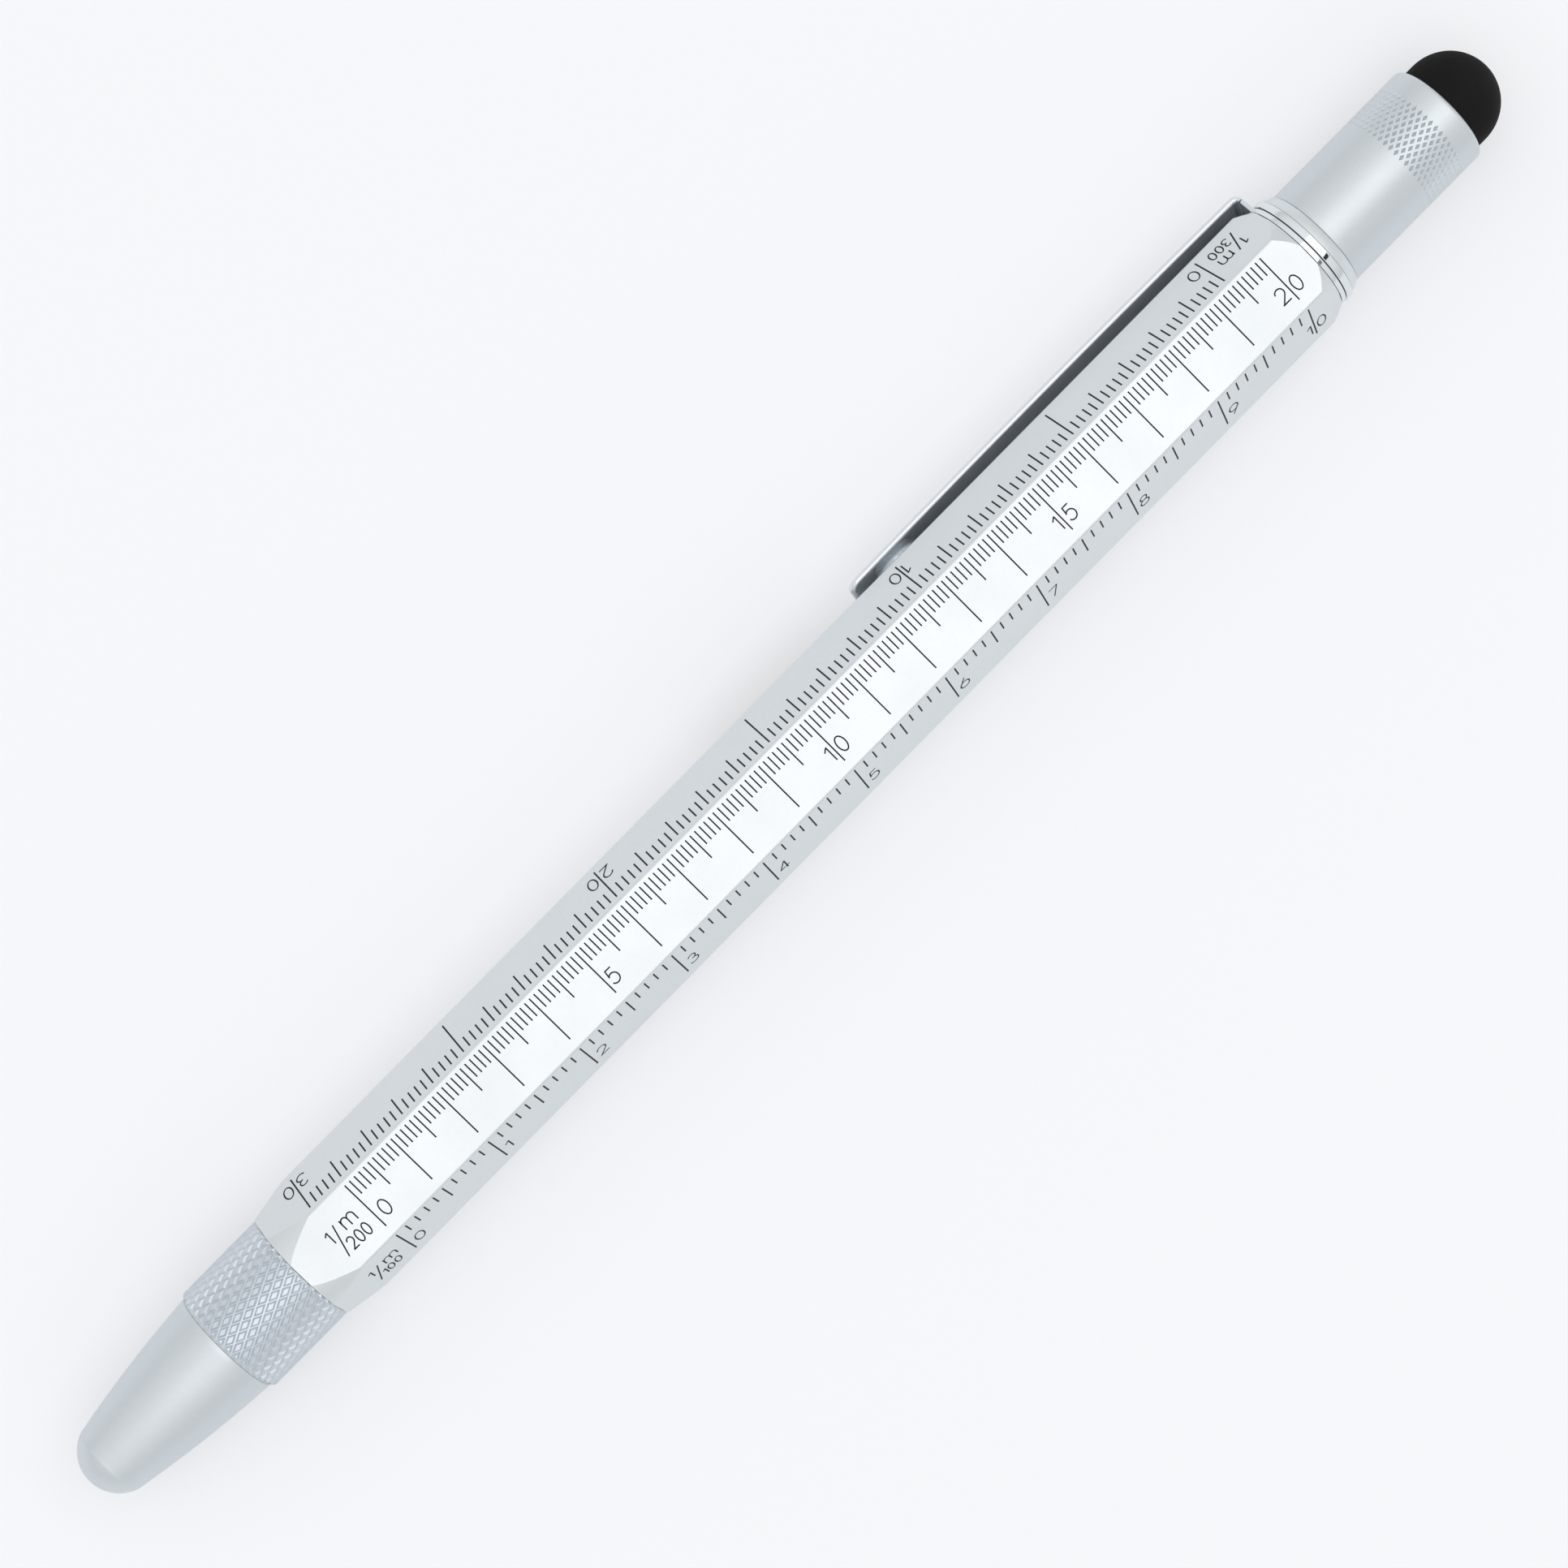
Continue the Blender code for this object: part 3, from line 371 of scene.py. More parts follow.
def setRadius(piece, test, radius):
    for vert in piece.data.vertices:
        reach = hypot(vert.co.y, vert.co.z)
        if test(vert, reach):
            vert.co.y *= radius * mm / reach
            vert.co.z *= radius * mm / reach


def slantsUp(piece, edge):  # whether an edge climbs round the pen as it goes along it; None if it is neither
    a, b = (piece.data.vertices[i].co for i in edge.vertices)
    along = b.x - a.x
    around = atan2(a.z * b.y - a.y * b.z, a.y * b.y + a.z * b.z)
    tooShort, tooFlat = mm / 500, 0.0002
    if abs(along) < tooShort or abs(around) < tooFlat:
        return None
    return along * around > 0


def knurl(sizes):
    rowAt, period, starts, radius, relief = pull(sizes, "rowAt period starts radius relief")
    start, end, cutRows = pull(sizes, "start end cutRows")
    half = int((end - start) / 2 / period + 2)
    rings = [(rowAt + (i - half) * period, radius) for i in range(2 * half + 1)]
    sleeve = lathe(rings, starts, openEnds=True)
    corners = len(sleeve.data.vertices)
    editAll(sleeve)
    bpy.ops.mesh.poke()
    pick(sleeve, "EDGE", lambda e: e.vertices[0] < corners and e.vertices[1] < corners)
    bpy.ops.mesh.dissolve_edges(use_verts=False)
    objectMode()
    setRadius(sleeve, lambda vert, reach: True, radius)
    for slant, width in ((True, sizes["wideGroove"]), (False, sizes["thinGroove"])):
        pick(sleeve, "EDGE", lambda e: slantsUp(sleeve, e) is slant)
        bpy.ops.mesh.bevel(offset=width * mm, segments=1, affect="EDGES")
        objectMode()
    setRadius(sleeve, lambda vert, reach: True, radius)
    nearLattice = 0.2

    def isDiamond(face):  # its centre lies half a step on from a crossing of the lattice
        x, y, z = face.center
        along, around = (x / mm - rowAt) * 2 / period, atan2(y, z) * starts / pi
        offLattice = max(abs(along - round(along)), abs(around - round(around)))
        whole = cutRows or start < x / mm < end
        return whole and offLattice < nearLattice and (round(along) + round(around)) % 2 == 1

    pick(sleeve, "FACE", isDiamond)
    bpy.ops.mesh.inset(thickness=sizes["flank"] * mm, depth=relief * mm, use_individual=True)
    bpy.ops.mesh.poke()
    objectMode()
    level, part = radius + relief, (radius + relief / 2) * mm
    if relief > 0:
        setRadius(sleeve, lambda vert, reach: reach > part, level)
    else:
        setRadius(sleeve, lambda vert, reach: reach < part, level)
    cutAcross(sleeve, start, side=-1, clear_outer=True)
    cutAcross(sleeve, end, clear_outer=True)
    if not cutRows:
        setRadius(sleeve, lambda vert, reach: reach > part, radius)
    sleeve.data.transform(Matrix.Rotation(radians(sizes["turn"]), 4, "X"))
    return sleeve


def drawRim(piece, x, outline):  # carries the open rim at x through a list of (x, radius) points
    pick(piece, "VERT", lambda vert: abs(vert.co.x - x * mm) < pickGap)
    for nextX, radius in outline:
        bpy.ops.mesh.extrude_region_move(TRANSFORM_OT_translate={"value": (0, 0, 0)})
        objectMode()
        for vert in piece.data.vertices:
            if vert.select:
                scale = radius * mm / hypot(vert.co.y, vert.co.z)
                vert.co = (nextX * mm, vert.co.y * scale, vert.co.z * scale)
        bpy.ops.object.mode_set(mode="EDIT")


def closeBore(piece, firstX, lastX, radius):
    def onRim(vert):
        near = abs(hypot(vert.co.y, vert.co.z) - radius * mm) < 2 * pickGap
        return near and min(abs(vert.co.x - firstX * mm), abs(vert.co.x - lastX * mm)) < pickGap

    pick(piece, "VERT", onRim)
    bpy.ops.mesh.bridge_edge_loops()
    bpy.ops.mesh.select_all(action="SELECT")
    bpy.ops.mesh.normals_make_consistent(inside=False)
    objectMode()


ringSizes = dict(front=-8.24, back=-0.05, bore=4.36, frontEdge=4.7, backEdge=4.92)


def makeGripRing(sizes, pattern):
    front, back, bore, frontEdge, backEdge = pull(sizes, "front back bore frontEdge backEdge")
    ring = knurl(pattern)
    drawRim(ring, pattern["start"], [(front, frontEdge), (front, bore)])
    drawRim(ring, pattern["end"], [(back, backEdge), (back, bore)])
    closeBore(ring, front, back, bore)
    return ring


settle(makeGripRing(ringSizes, ringKnurl), "gripRing", "nib_cap", knurlSilver,
       ["knurled_ring"])

# Nib cap: domed end, swollen cone, skirt and stepped bore
capSizes = dict(tip=-23.3, domeEnd=-21.14, domeRadius=3.12, domeSteps=22, coneEnd=-8.247, coneRadius=4.72,
                coneSteps=26, swell=0.2, skirt=4.3, mouth=-0.12, mouthBore=3.9, mouthStep=-2.02,
                threadBore=3.6, threadEnd=-15.92, tipBore=2.3, boreEnd=-21.2, crease=0.05, creaseSlope=0.37,
                creaseLift=0.004, edge=0.05)


def makeCap(sizes):
    tip, domeEnd, domeRadius, crease = pull(sizes, "tip domeEnd domeRadius crease")
    domeLength = domeEnd - tip
    sphere = (domeRadius ** 2 + domeLength ** 2) / (2 * domeLength)
    span = asin(domeRadius / sphere) * 180 / pi
    outline = arc(tip + sphere, 0, sphere, 180, 180 - span, sizes["domeSteps"])
    outline[0] = (tip, 0)
    lastX, lastRadius = outline.pop()
    outline.append((lastX - crease, lastRadius - crease * sizes["creaseSlope"]))
    outline.append((lastX, lastRadius + sizes["creaseLift"]))
    coneLength, steps = sizes["coneEnd"] - domeEnd, sizes["coneSteps"]
    for t in [crease / coneLength] + [i / steps for i in range(1, steps + 1)]:
        straight = domeRadius + (sizes["coneRadius"] - domeRadius) * t
        outline.append((domeEnd + coneLength * t, straight + 4 * sizes["swell"] * t * (1 - t)))
    outline += stepped(sizes["coneEnd"], (sizes["skirt"], sizes["mouth"]),
                       (sizes["mouthBore"], sizes["mouthStep"]), (sizes["threadBore"], sizes["threadEnd"]),
                       (sizes["tipBore"], sizes["boreEnd"]))
    cap = lathe(outline + [(sizes["boreEnd"], 0)])
    softenEdges(cap, sizes["edge"])
    return cap


settle(makeCap(capSizes), "domedCap", "nib_cap", capSilver, ["nib_cap"])

# Stylus cap: the knurled band runs on into the smooth tube, over its rounded rim and down its bore
stylusSizes = dict(front=112.37, frontEdge=0.08, edgeShare=0.3, back=126.42, radius=4.58, fillet=0.42,
                   filletSteps=8, seat=123.82, seatBore=4.11, seatEdge=0.03, bore=3.4, threadBore=3.74,
                   threadEnd=117.07)


def makeStylusCap(sizes, band):
    cap = knurl(band)
    front, back, radius, fillet, edge = pull(sizes, "front back radius fillet frontEdge")
    seatBore, seatEdge, threadBore, threadEnd = pull(sizes, "seatBore seatEdge threadBore threadEnd")
    behind = [(band["end"] + (back - fillet - band["end"]) * i / 4, radius) for i in range(1, 4)]
    behind += arc(back - fillet, radius - fillet, fillet, 90, 0, sizes["filletSteps"])
    behind += [(back, seatBore + seatEdge)]
    behind += stepped(back - seatEdge, (seatBore, sizes["seat"]), (sizes["bore"], threadEnd))
    drawRim(cap, band["end"], behind + [(threadEnd, threadBore)])
    ahead = [(band["start"] + (front + edge - band["start"]) * i / 10, radius) for i in range(1, 11)]
    ahead += [(front + edge * sizes["edgeShare"], radius - edge * sizes["edgeShare"])]
    drawRim(cap, band["start"], ahead + [(front, radius - edge), (front, threadBore)])
    closeBore(cap, front, threadEnd, threadBore)
    return cap


settle(makeStylusCap(stylusSizes, bandKnurl), "bandedCap", "stylus_cap", capSilver,
       ["stylus_cap"])

# Rubber dome and the core tube inside it
domeSizes = dict(centre=127.52, radius=4.05, hollow=3.2, start=123.88, edge=0.08)


def makeDome(sizes):
    centre, hollow, radius = pull(sizes, "centre hollow radius")
    outline = [(centre + hollow, 0)] + arc(centre, 0, hollow, 0, 90, 24)[1:]
    outline += [(sizes["start"], hollow), (sizes["start"], radius)]
    outline += arc(centre, 0, radius, 90, 0, 32)[:-1] + [(centre + radius, 0)]
    dome = lathe(outline, turns=128)
    softenEdges(dome, sizes["edge"])
    return dome


settle(makeDome(domeSizes), "rubberDome", "stylus_cap", blackRubber, ["stylus_tip"])

coreSizes = dict(start=117.31, end=126.91, radius=3.1, wall=0.5, flangeStart=122.98, flangeEnd=123.78,
                 flange=3.3, edge=0.06)


def makeCore(sizes):
    start, end, radius, wall = pull(sizes, "start end radius wall")
    bore, flange = radius - wall, pull(sizes, "flange flangeEnd")
    outside = stepped(start, (radius, sizes["flangeStart"]), flange, (radius, end))
    core = lathe([(start, bore)] + outside + [(end, bore)], turns=96)
    softenEdges(core, sizes["edge"])
    return core


settle(makeCore(coreSizes), "coreTube", "stylus_core", whitePlastic, ["stylus_core"])

# Trim ring: a polished band, a black ring of painted shade in the seam before it and a satin cone behind it
trimSizes = dict(start=110.75, bandEnd=111.39, radius=5.15, bandEdge=0.07, coneStart=111.42, coneRadius=5.07,
                 coneEdge=0.03, end=112.34, endRadius=4.62, bore=3.70, jointRadius=4.98, seamShadeStart=110.67,
                 gap=0.01)


def makeTrim(sizes):
    bore, jointRadius, gap, coneStart, end = pull(sizes, "bore jointRadius gap coneStart end")
    band = lathe(tube(*pull(sizes, "start bandEnd bore radius")))
    softenEdges(band, sizes["bandEdge"], segments=3)
    settle(band, "trimBand", "barrel", trimChrome, ["trim_ring"])
    # A black ring in the seam before the band: painted shade standing in for the dark gap there
    seamShade = lathe(tube(sizes["seamShadeStart"], sizes["start"] - gap, bore, jointRadius))
    settle(seamShade, "trimSeamShade", "barrel", blackPlastic, ["trim_ring"])
    neck = sizes["bandEnd"] + gap
    cone = lathe([(neck, bore), (neck, jointRadius), (coneStart, jointRadius),
                  (coneStart, sizes["coneRadius"]), (end, sizes["endRadius"]), (end, bore)])
    softenEdges(cone, sizes["coneEdge"])
    settle(cone, "trimCone", "barrel", satinSilver, ["trim_ring"])


makeTrim(trimSizes)

# Clip: thin ring with a tab, and the sprung arm
clipRingSizes = dict(start=110.26, end=110.66, bore=3.70, radius=5.05, halfWidth=2.825, tabFoot=3.82, tab=5.6,
                     tabEdge=0.18, edge=0.06)


def makeClipRing(sizes):
    start, end, halfWidth = pull(sizes, "start end halfWidth")
    ring = lathe(tube(*pull(sizes, "start end bore radius")))
    tab = block((start, -halfWidth, sizes["tabFoot"]), (end, halfWidth, sizes["tab"]))
    softenEdges(tab, sizes["tabEdge"], segments=4, angle=60)
    carve(ring, tab, "UNION")
    softenEdges(ring, sizes["edge"])
    return ring


settle(makeClipRing(clipRingSizes), "clipCollar", "barrel", chrome, ["clip_ring"], clipPlace)

clipSizes = dict(width=5.65, thickness=0.6, innerReach=5.88, bow=0.17, back=110.66, front=110.26, foot=5.65,
                 bendRadius=0.75, bendSteps=10, tip=67.15, tipLength=1.1, tipWidth=3.45, tipSteps=12,
                 bumpPlace=4.5, bumpLength=5.2, bumpWidth=3.5, bumpDepth=0.85, bumpFlank=0.31, columns=64,
                 edgeColumns=8, stations=240)


def clipPath(sizes):  # pairs of (x, reach) on the outer and the inner side
    back, front, foot, bend, thickness = pull(sizes, "back front foot bendRadius thickness")
    bendSteps, stations, tipSteps = pull(sizes, "bendSteps stations tipSteps")
    innerReach, tip, tipLength = pull(sizes, "innerReach tip tipLength")
    outerReach = innerReach + thickness
    bendX, bendReach = back - bend, outerReach - bend
    innerX, innerZ = bend - (back - front), bend - thickness
    path = [((back, foot), (front, foot))]
    for i in range(bendSteps + 1):
        a = pi / 2 * i / bendSteps
        path.append(((bendX + bend * cos(a), bendReach + bend * sin(a)),
                     (bendX + innerX * cos(a), bendReach + innerZ * sin(a))))
    roundStart = tip + tipLength
    straight = [bendX + (roundStart - bendX) * i / stations for i in range(1, stations + 1)]
    rounded = [tip + tipLength * (1 - sin(pi / 2 * i / tipSteps)) for i in range(1, tipSteps + 1)]
    middle, half = (bendX + tip) / 2, (bendX - tip) / 2
    for x in straight + rounded:
        rise = sizes["bow"] * (1 - ((x - middle) / half) ** 2)
        path.append(((x, outerReach + rise), (x, innerReach + rise)))
    return path


def along(path, t, layer):
    place = t * (len(path) - 1)
    i = min(int(place), len(path) - 2)
    a, b = path[i][layer], path[i + 1][layer]
    return a[0] + (b[0] - a[0]) * (place - i), a[1] + (b[1] - a[1]) * (place - i)


def sheetPiece(columns, rows):  # a flat unit sheet, drawn down into a slab one unit thick
    clearSelection()
    bpy.ops.mesh.primitive_grid_add(x_subdivisions=columns, y_subdivisions=rows, size=1)
    piece = bpy.context.object
    editAll(piece)
    bpy.ops.mesh.extrude_region_move(TRANSFORM_OT_translate={"value": (0, 0, -1)})
    objectMode()
    return piece


def makeClip(sizes):
    path = clipPath(sizes)
    columns, tip, tipLength, tipWidth = pull(sizes, "columns tip tipLength tipWidth")
    bumpLength, bumpWidth, bumpDepth, bumpFlank = pull(sizes, "bumpLength bumpWidth bumpDepth bumpFlank")
    bumpX, roundness = tip + sizes["bumpPlace"], sizes["thickness"] / 2
    arm = sheetPiece(len(path) - 1, columns)
    flatShare = 1 - 2 * sizes["edgeColumns"] / columns
    for vert in arm.data.vertices:
        side = 1 if vert.co.z > -0.5 else -1
        (outerX, outerReach), (innerX, innerReach) = (along(path, vert.co.x + 0.5, layer) for layer in (0, 1))
        halfWidth = sizes["width"] / 2
        if outerX < tip + tipLength:
            t = 1 - (outerX - tip) / tipLength
            halfWidth = tipWidth / 2 + (halfWidth - tipWidth / 2) * sqrt(max(0, 1 - t * t))
        across = min(1, abs(vert.co.y) * 2)
        turn = max(0, (across - flatShare) / (1 - flatShare)) * pi / 2
        # The sheet's sides and tip are squeezed into half-round edges
        y = min(1, across / flatShare) * (halfWidth - roundness) + roundness * sin(turn)
        y = -y if vert.co.y < 0 else y
        fromTip = min(1, (outerX - tip) / roundness)
        squeeze = side * cos(turn) * sqrt(max(0, 1 - (1 - fromTip) ** 2))
        x = (outerX + innerX) / 2 + (outerX - innerX) / 2 * squeeze
        reach = (outerReach + innerReach) / 2 + (outerReach - innerReach) / 2 * squeeze
        far = hypot((x - bumpX) / bumpLength, y / bumpWidth) * 2
        rise = min(1, max(0, (1 - far) / bumpFlank))
        sink = bumpDepth * rise * rise * (3 - 2 * rise)
        vert.co = (x * mm, y * mm, (reach - sink) * mm)
    mend(arm)
    return arm


settle(makeClip(clipSizes), "clipStrip", "clip", chrome, ["clip_arm"], clipPlace, crispFrom=60)

# Printed scales. Each row of lines: the first one's x, the count and step inside a group, the count and step
# of the groups, and where the lines end. Each figure: its text, its line's x and its gap from the line.
scaleHeight = 0.006
plainScale = dict(turned=False, top=2.5, width=0.12, figureTop=-0.45, figureHeight=1.33, figureWidth=0.12,
                  label="", labelLift=0.0)
sideScale = dict(plainScale, width=0.14, figureWidth=0.138)
scales = [
    dict(plainScale, name="scale200", angle=0, origin=7.25, figureTop=-0.16, label="200",
         rows=[(0.5, 4, 0.5, 40, 2.5, 1.12), (2.5, 1, 0, 20, 5, 0.09), (0, 1, 0, 21, 5, -1.95)],
         figures=[("0", 0, 0.58), ("5", 25, 0.33), ("10", 50, 0.36), ("15", 75, 0.36), ("20", 100, 0.36)]),
    dict(sideScale, name="scale100", angle=60, origin=7.23, top=2.64, figureTop=0.08, figureHeight=1.44,
         label="100", labelLift=0.13,
         rows=[(1, 4, 1, 20, 5, 1.27), (5, 1, 0, 10, 10, 0.24), (0, 1, 0, 11, 10, -1.84)],
         figures=[(str(i), 10 * i, 0.56) for i in range(10)] + [("10", 100, 0.34)]),
    dict(sideScale, name="scale300", angle=-60, origin=104.19, turned=True, top=2.35, figureTop=-0.3,
         figureHeight=1.4, label="300", labelLift=-0.1,
         rows=[(2 / 3, 4, 2 / 3, 30, 10 / 3, 0.88), (10 / 3, 4, 10 / 3, 6, 50 / 3, -0.05),
               (0, 1, 0, 7, 50 / 3, -2.12)],
         figures=[("0", 0, 0.52)] + [(str(10 * i), 100 / 3 * i, 0.32) for i in range(1, 4)]),
    dict(plainScale, name="scaleCm", angle=180, origin=6.0,
         rows=[(1, 4, 1, 20, 5, 1.12), (5, 1, 0, 10, 10, 0.45), (0, 1, 0, 11, 10, -0.2)],
         figures=[(str(i), 10 * i, 0.33) for i in range(11)]),
    dict(plainScale, name="scaleInch", angle=120, origin=6.0,
         rows=[(1.5875, 3, 1.5875, 16, 6.35, 1.3), (6.35, 3, 6.35, 4, 25.4, 0.6), (0, 1, 0, 5, 25.4, -0.2)],
         figures=[(str(i), 25.4 * i, 0.33) for i in range(5)]),
]
# The label by each zero: a 1, a slash, an m, and the ratio's figure under them
labelSizes = dict(one=(-3.9, 0.97), oneHeight=1.12, slash=[(-2.83, 1.03), (-3.60, -1.59)],
                  metre=(-2.28, 0.91), metreHeight=0.94, ratio=(-3.0, -0.47), ratioHeight=1.06,
                  ratioGap=0.21, ratioStretch=0.84)


def oval(x, y, across, up, first=0, last=360):
    steps = max(6, int(abs(last - first) / 18))
    points = []
    for i in range(steps + 1):
        angle = radians(first + (last - first) * i / steps)
        points.append((x + across * cos(angle), y + up * sin(angle)))
    return points


# Strokes of each figure, one unit high, and its width
figureStrokes = {
    "0": ([oval(0.29, 0.5, 0.29, 0.5)], 0.6),
    "1": ([[(0.27, 0), (0.27, 1)], [(0, 0.76), (0.25, 0.96)]], 0.28),
    "2": ([oval(0.33, 0.7, 0.3, 0.3, 165, -38) + [(0.09, 0.05)], [(0, 0.03), (0.66, 0.03)]], 0.66),
    "3": ([oval(0.3, 0.76, 0.25, 0.24, 155, -95), oval(0.3, 0.27, 0.31, 0.27, 95, -155)], 0.62),
    "4": ([[(0.48, 0), (0.48, 1)], [(0.47, 0.98), (0.02, 0.26)], [(0, 0.26), (0.66, 0.26)]], 0.66),
    "5": ([[(0.56, 0.97), (0.13, 0.97)], [(0.14, 1), (0.08, 0.5)],
           oval(0.3, 0.33, 0.32, 0.33, 135, -150)], 0.62),
    "6": ([[(0.43, 1), (0.07, 0.46)] + oval(0.31, 0.31, 0.31, 0.31, 150, 510)], 0.62),
    "7": ([[(0, 0.97), (0.62, 0.97)], [(0.6, 0.97), (0.18, 0)]], 0.62),
    "8": ([oval(0.3, 0.76, 0.23, 0.24), oval(0.3, 0.27, 0.3, 0.27)], 0.6),
    "9": ([[(0.19, 0), (0.55, 0.54)] + oval(0.31, 0.69, 0.31, 0.31, -30, 330)], 0.62),
    "m": ([[(0, 0), (0, 1)], oval(0.33, 0.62, 0.31, 0.34, 180, 0) + [(0.64, 0)],
           oval(0.97, 0.62, 0.33, 0.34, 180, 0) + [(1.3, 0)]], 1.3),
}


def figures(text, x, top, height, gap=0.1, stretch=1.0):
    strokes = []
    for letter in text:
        shapes, width = figureStrokes[letter]
        for shape in shapes:
            strokes.append([(x + px * height * stretch, top - height + py * height) for px, py in shape])
        x += (width * stretch + gap) * height
    return strokes


def labelStrokes(text, lift, sizes):
    (oneX, oneTop), (metreX, metreTop), (ratioX, ratioTop) = sizes["one"], sizes["metre"], sizes["ratio"]
    strokes = figures("1", oneX, oneTop + lift, sizes["oneHeight"])
    strokes.append([(x, y + lift) for x, y in sizes["slash"]])
    strokes += figures("m", metreX, metreTop + lift, sizes["metreHeight"])
    return strokes + figures(text, ratioX, ratioTop + lift, sizes["ratioHeight"], sizes["ratioGap"],
                             sizes["ratioStretch"])


def drawStrokes(strokes, width):
    clearSelection()
    curve = bpy.data.curves.new("strokes", "CURVE")
    curve.dimensions = "2D"
    curve.fill_mode = "NONE"
    curve.bevel_depth = width / 2 * mm
    curve.bevel_resolution = 1
    curve.use_fill_caps = True
    for points in strokes:
        closed = hypot(points[0][0] - points[-1][0], points[0][1] - points[-1][1]) < width / 10
        points = points[:-1] if closed else points
        spline = curve.splines.new("POLY")
        spline.points.add(len(points) - 1)
        spline.use_cyclic_u = closed
        for point, (x, y) in zip(spline.points, points):
            point.co = (x * mm, y * mm, 0, 1)
    piece = bpy.data.objects.new("strokes", curve)
    bpy.context.collection.objects.link(piece)
    activate(piece)
    bpy.ops.object.convert(target="MESH")
    piece = bpy.context.object
    editAll(piece)
    bpy.ops.mesh.remove_doubles(threshold=weldGap)
    bpy.ops.mesh.normals_make_consistent(inside=False)
    bpy.ops.transform.resize(value=(1, 1, 2 * scaleHeight / width))
    objectMode()
    return piece


def drawLines(first, inner, innerStep, outer, outerStep, top, end, width):
    clearSelection()
    bpy.ops.mesh.primitive_plane_add(size=mm)
    line = bpy.context.object
    editAll(line)
    bpy.ops.transform.resize(value=(width, top - end, 1))
    bpy.ops.transform.translate(value=(first * mm, (top + end) / 2 * mm, -scaleHeight * mm))
    bpy.ops.mesh.extrude_region_move(TRANSFORM_OT_translate={"value": (0, 0, 2 * scaleHeight * mm)})
    bpy.ops.mesh.select_all(action="SELECT")
    bpy.ops.mesh.normals_make_consistent(inside=False)
    for count, step in ((inner, innerStep), (outer, outerStep)):
        finishWith(line, "ARRAY", count=count, use_relative_offset=False, use_constant_offset=True,
                   constant_offset_displace=(step * mm, 0, 0))
    return line


def makeScale(scale):
    place = penPlace @ Matrix.Rotation(radians(scale["angle"]), 4, "X")
    place = place @ Matrix.Translation((scale["origin"] * mm, 0, barrelSizes["flats"] / 2 * mm))
    if scale["turned"]:
        place = place @ Matrix.Rotation(pi, 4, "Z")
    lines = [drawLines(*row[:5], scale["top"], row[5], scale["width"]) for row in scale["rows"]]
    settle(joinAll(lines), scale["name"] + "Lines", "barrel", scaleInk, place=place)
    strokes = []
    top, height = scale["figureTop"], scale["figureHeight"]
    for text, x, gap in scale["figures"]:
        if len(text) == 2:  # the line passes between the two figures
            first = figureStrokes[text[0]][1]
            strokes += figures(text[0], x - gap - first * height, top, height)
            text = text[1]
        strokes += figures(text, x + gap, top, height)
    if scale["label"]:
        strokes += labelStrokes(scale["label"], scale["labelLift"], labelSizes)
    drawn = drawStrokes(strokes, scale["figureWidth"])
    settle(drawn, scale["name"] + "Figures", "barrel", scaleInk, place=place)


for scale in scales:
    makeScale(scale)


# Nib unit
def addThread(piece, start, end, crest, depth, pitch):
    nearCrest = 0.02
    for vert in piece.data.vertices:
        x, reach = vert.co.x / mm, hypot(vert.co.y, vert.co.z) / mm
        if start < x < end and abs(reach - crest) < nearCrest:
            turn = (x / pitch + atan2(vert.co.y, vert.co.z) / (2 * pi)) % 1
            ramp = min(1, (x - start) / pitch * 2, (end - x) / pitch * 2)
            # The groove's floor, the crest and each flank take a quarter of the pitch
            cut = depth * ramp * min(1, max(0, 1.5 - abs(turn - 0.5) * 4))
            vert.co.y *= (reach - cut) / reach
            vert.co.z *= (reach - cut) / reach


def threadRows(start, end, radius, pitch, ringsPerPitch=9):
    count = int(abs(end - start) / pitch * ringsPerPitch)
    return [(start + (end - start) * i / count, radius) for i in range(count + 1)]


sectionSizes = dict(front=-5.6, lip=-5.1, flangeStart=-1.46, flangeEnd=-0.86, flange=3.65, thread=3.45,
                    lead=0.1, runOut=0.25, nibBore=2.46, wall=0.65, bridgeStart=-0.6, bridgeEnd=3.6,
                    rear=3.25, rearThread=(1.2, 8.9), end=9.5, neckBore=2.5, tubeRadius=1.0, tubeEnd=8.0,
                    tubeTaper=0.3, tubeLip=0.15, channel=0.4, pitch=0.75, depth=0.18)


def makeHolder(sizes):
    front, nibBore, bridgeStart, bridgeEnd = pull(sizes, "front nibBore bridgeStart bridgeEnd")
    lip, flangeStart, flangeEnd, flange = pull(sizes, "lip flangeStart flangeEnd flange")
    thread, rear, depth, pitch, end = pull(sizes, "thread rear depth pitch end")
    neckBore, tubeRadius, tubeEnd, channel = pull(sizes, "neckBore tubeRadius tubeEnd channel")
    outline = [(bridgeStart, channel), (bridgeStart, nibBore), (front, nibBore)]
    outline += [(front, nibBore + sizes["wall"])]
    outline += threadRows(lip, flangeStart, thread, pitch)
    outline += [(flangeStart, flange), (flangeEnd, flange)] + threadRows(flangeEnd, end, rear, pitch)
    outline += [(end, neckBore), (bridgeEnd, neckBore), (bridgeEnd, tubeRadius)]
    outline += [(tubeEnd - sizes["tubeTaper"], tubeRadius), (tubeEnd, channel + sizes["tubeLip"])]
    holder = lathe(outline + [(tubeEnd, channel)], turns=96)
    addThread(holder, lip + sizes["lead"], flangeStart - sizes["runOut"], thread, depth, pitch)
    addThread(holder, *sizes["rearThread"], rear, depth, pitch)
    return holder


settle(makeHolder(sectionSizes), "nibHolder", "section", blackPlastic, ["section"])

collarSizes = dict(start=-0.76, end=-0.06, bore=3.35, radius=3.75, edge=0.08)
settle(turnedTube(collarSizes, 128, 3), "holderRing", "section_ring", chrome, ["section_ring"])

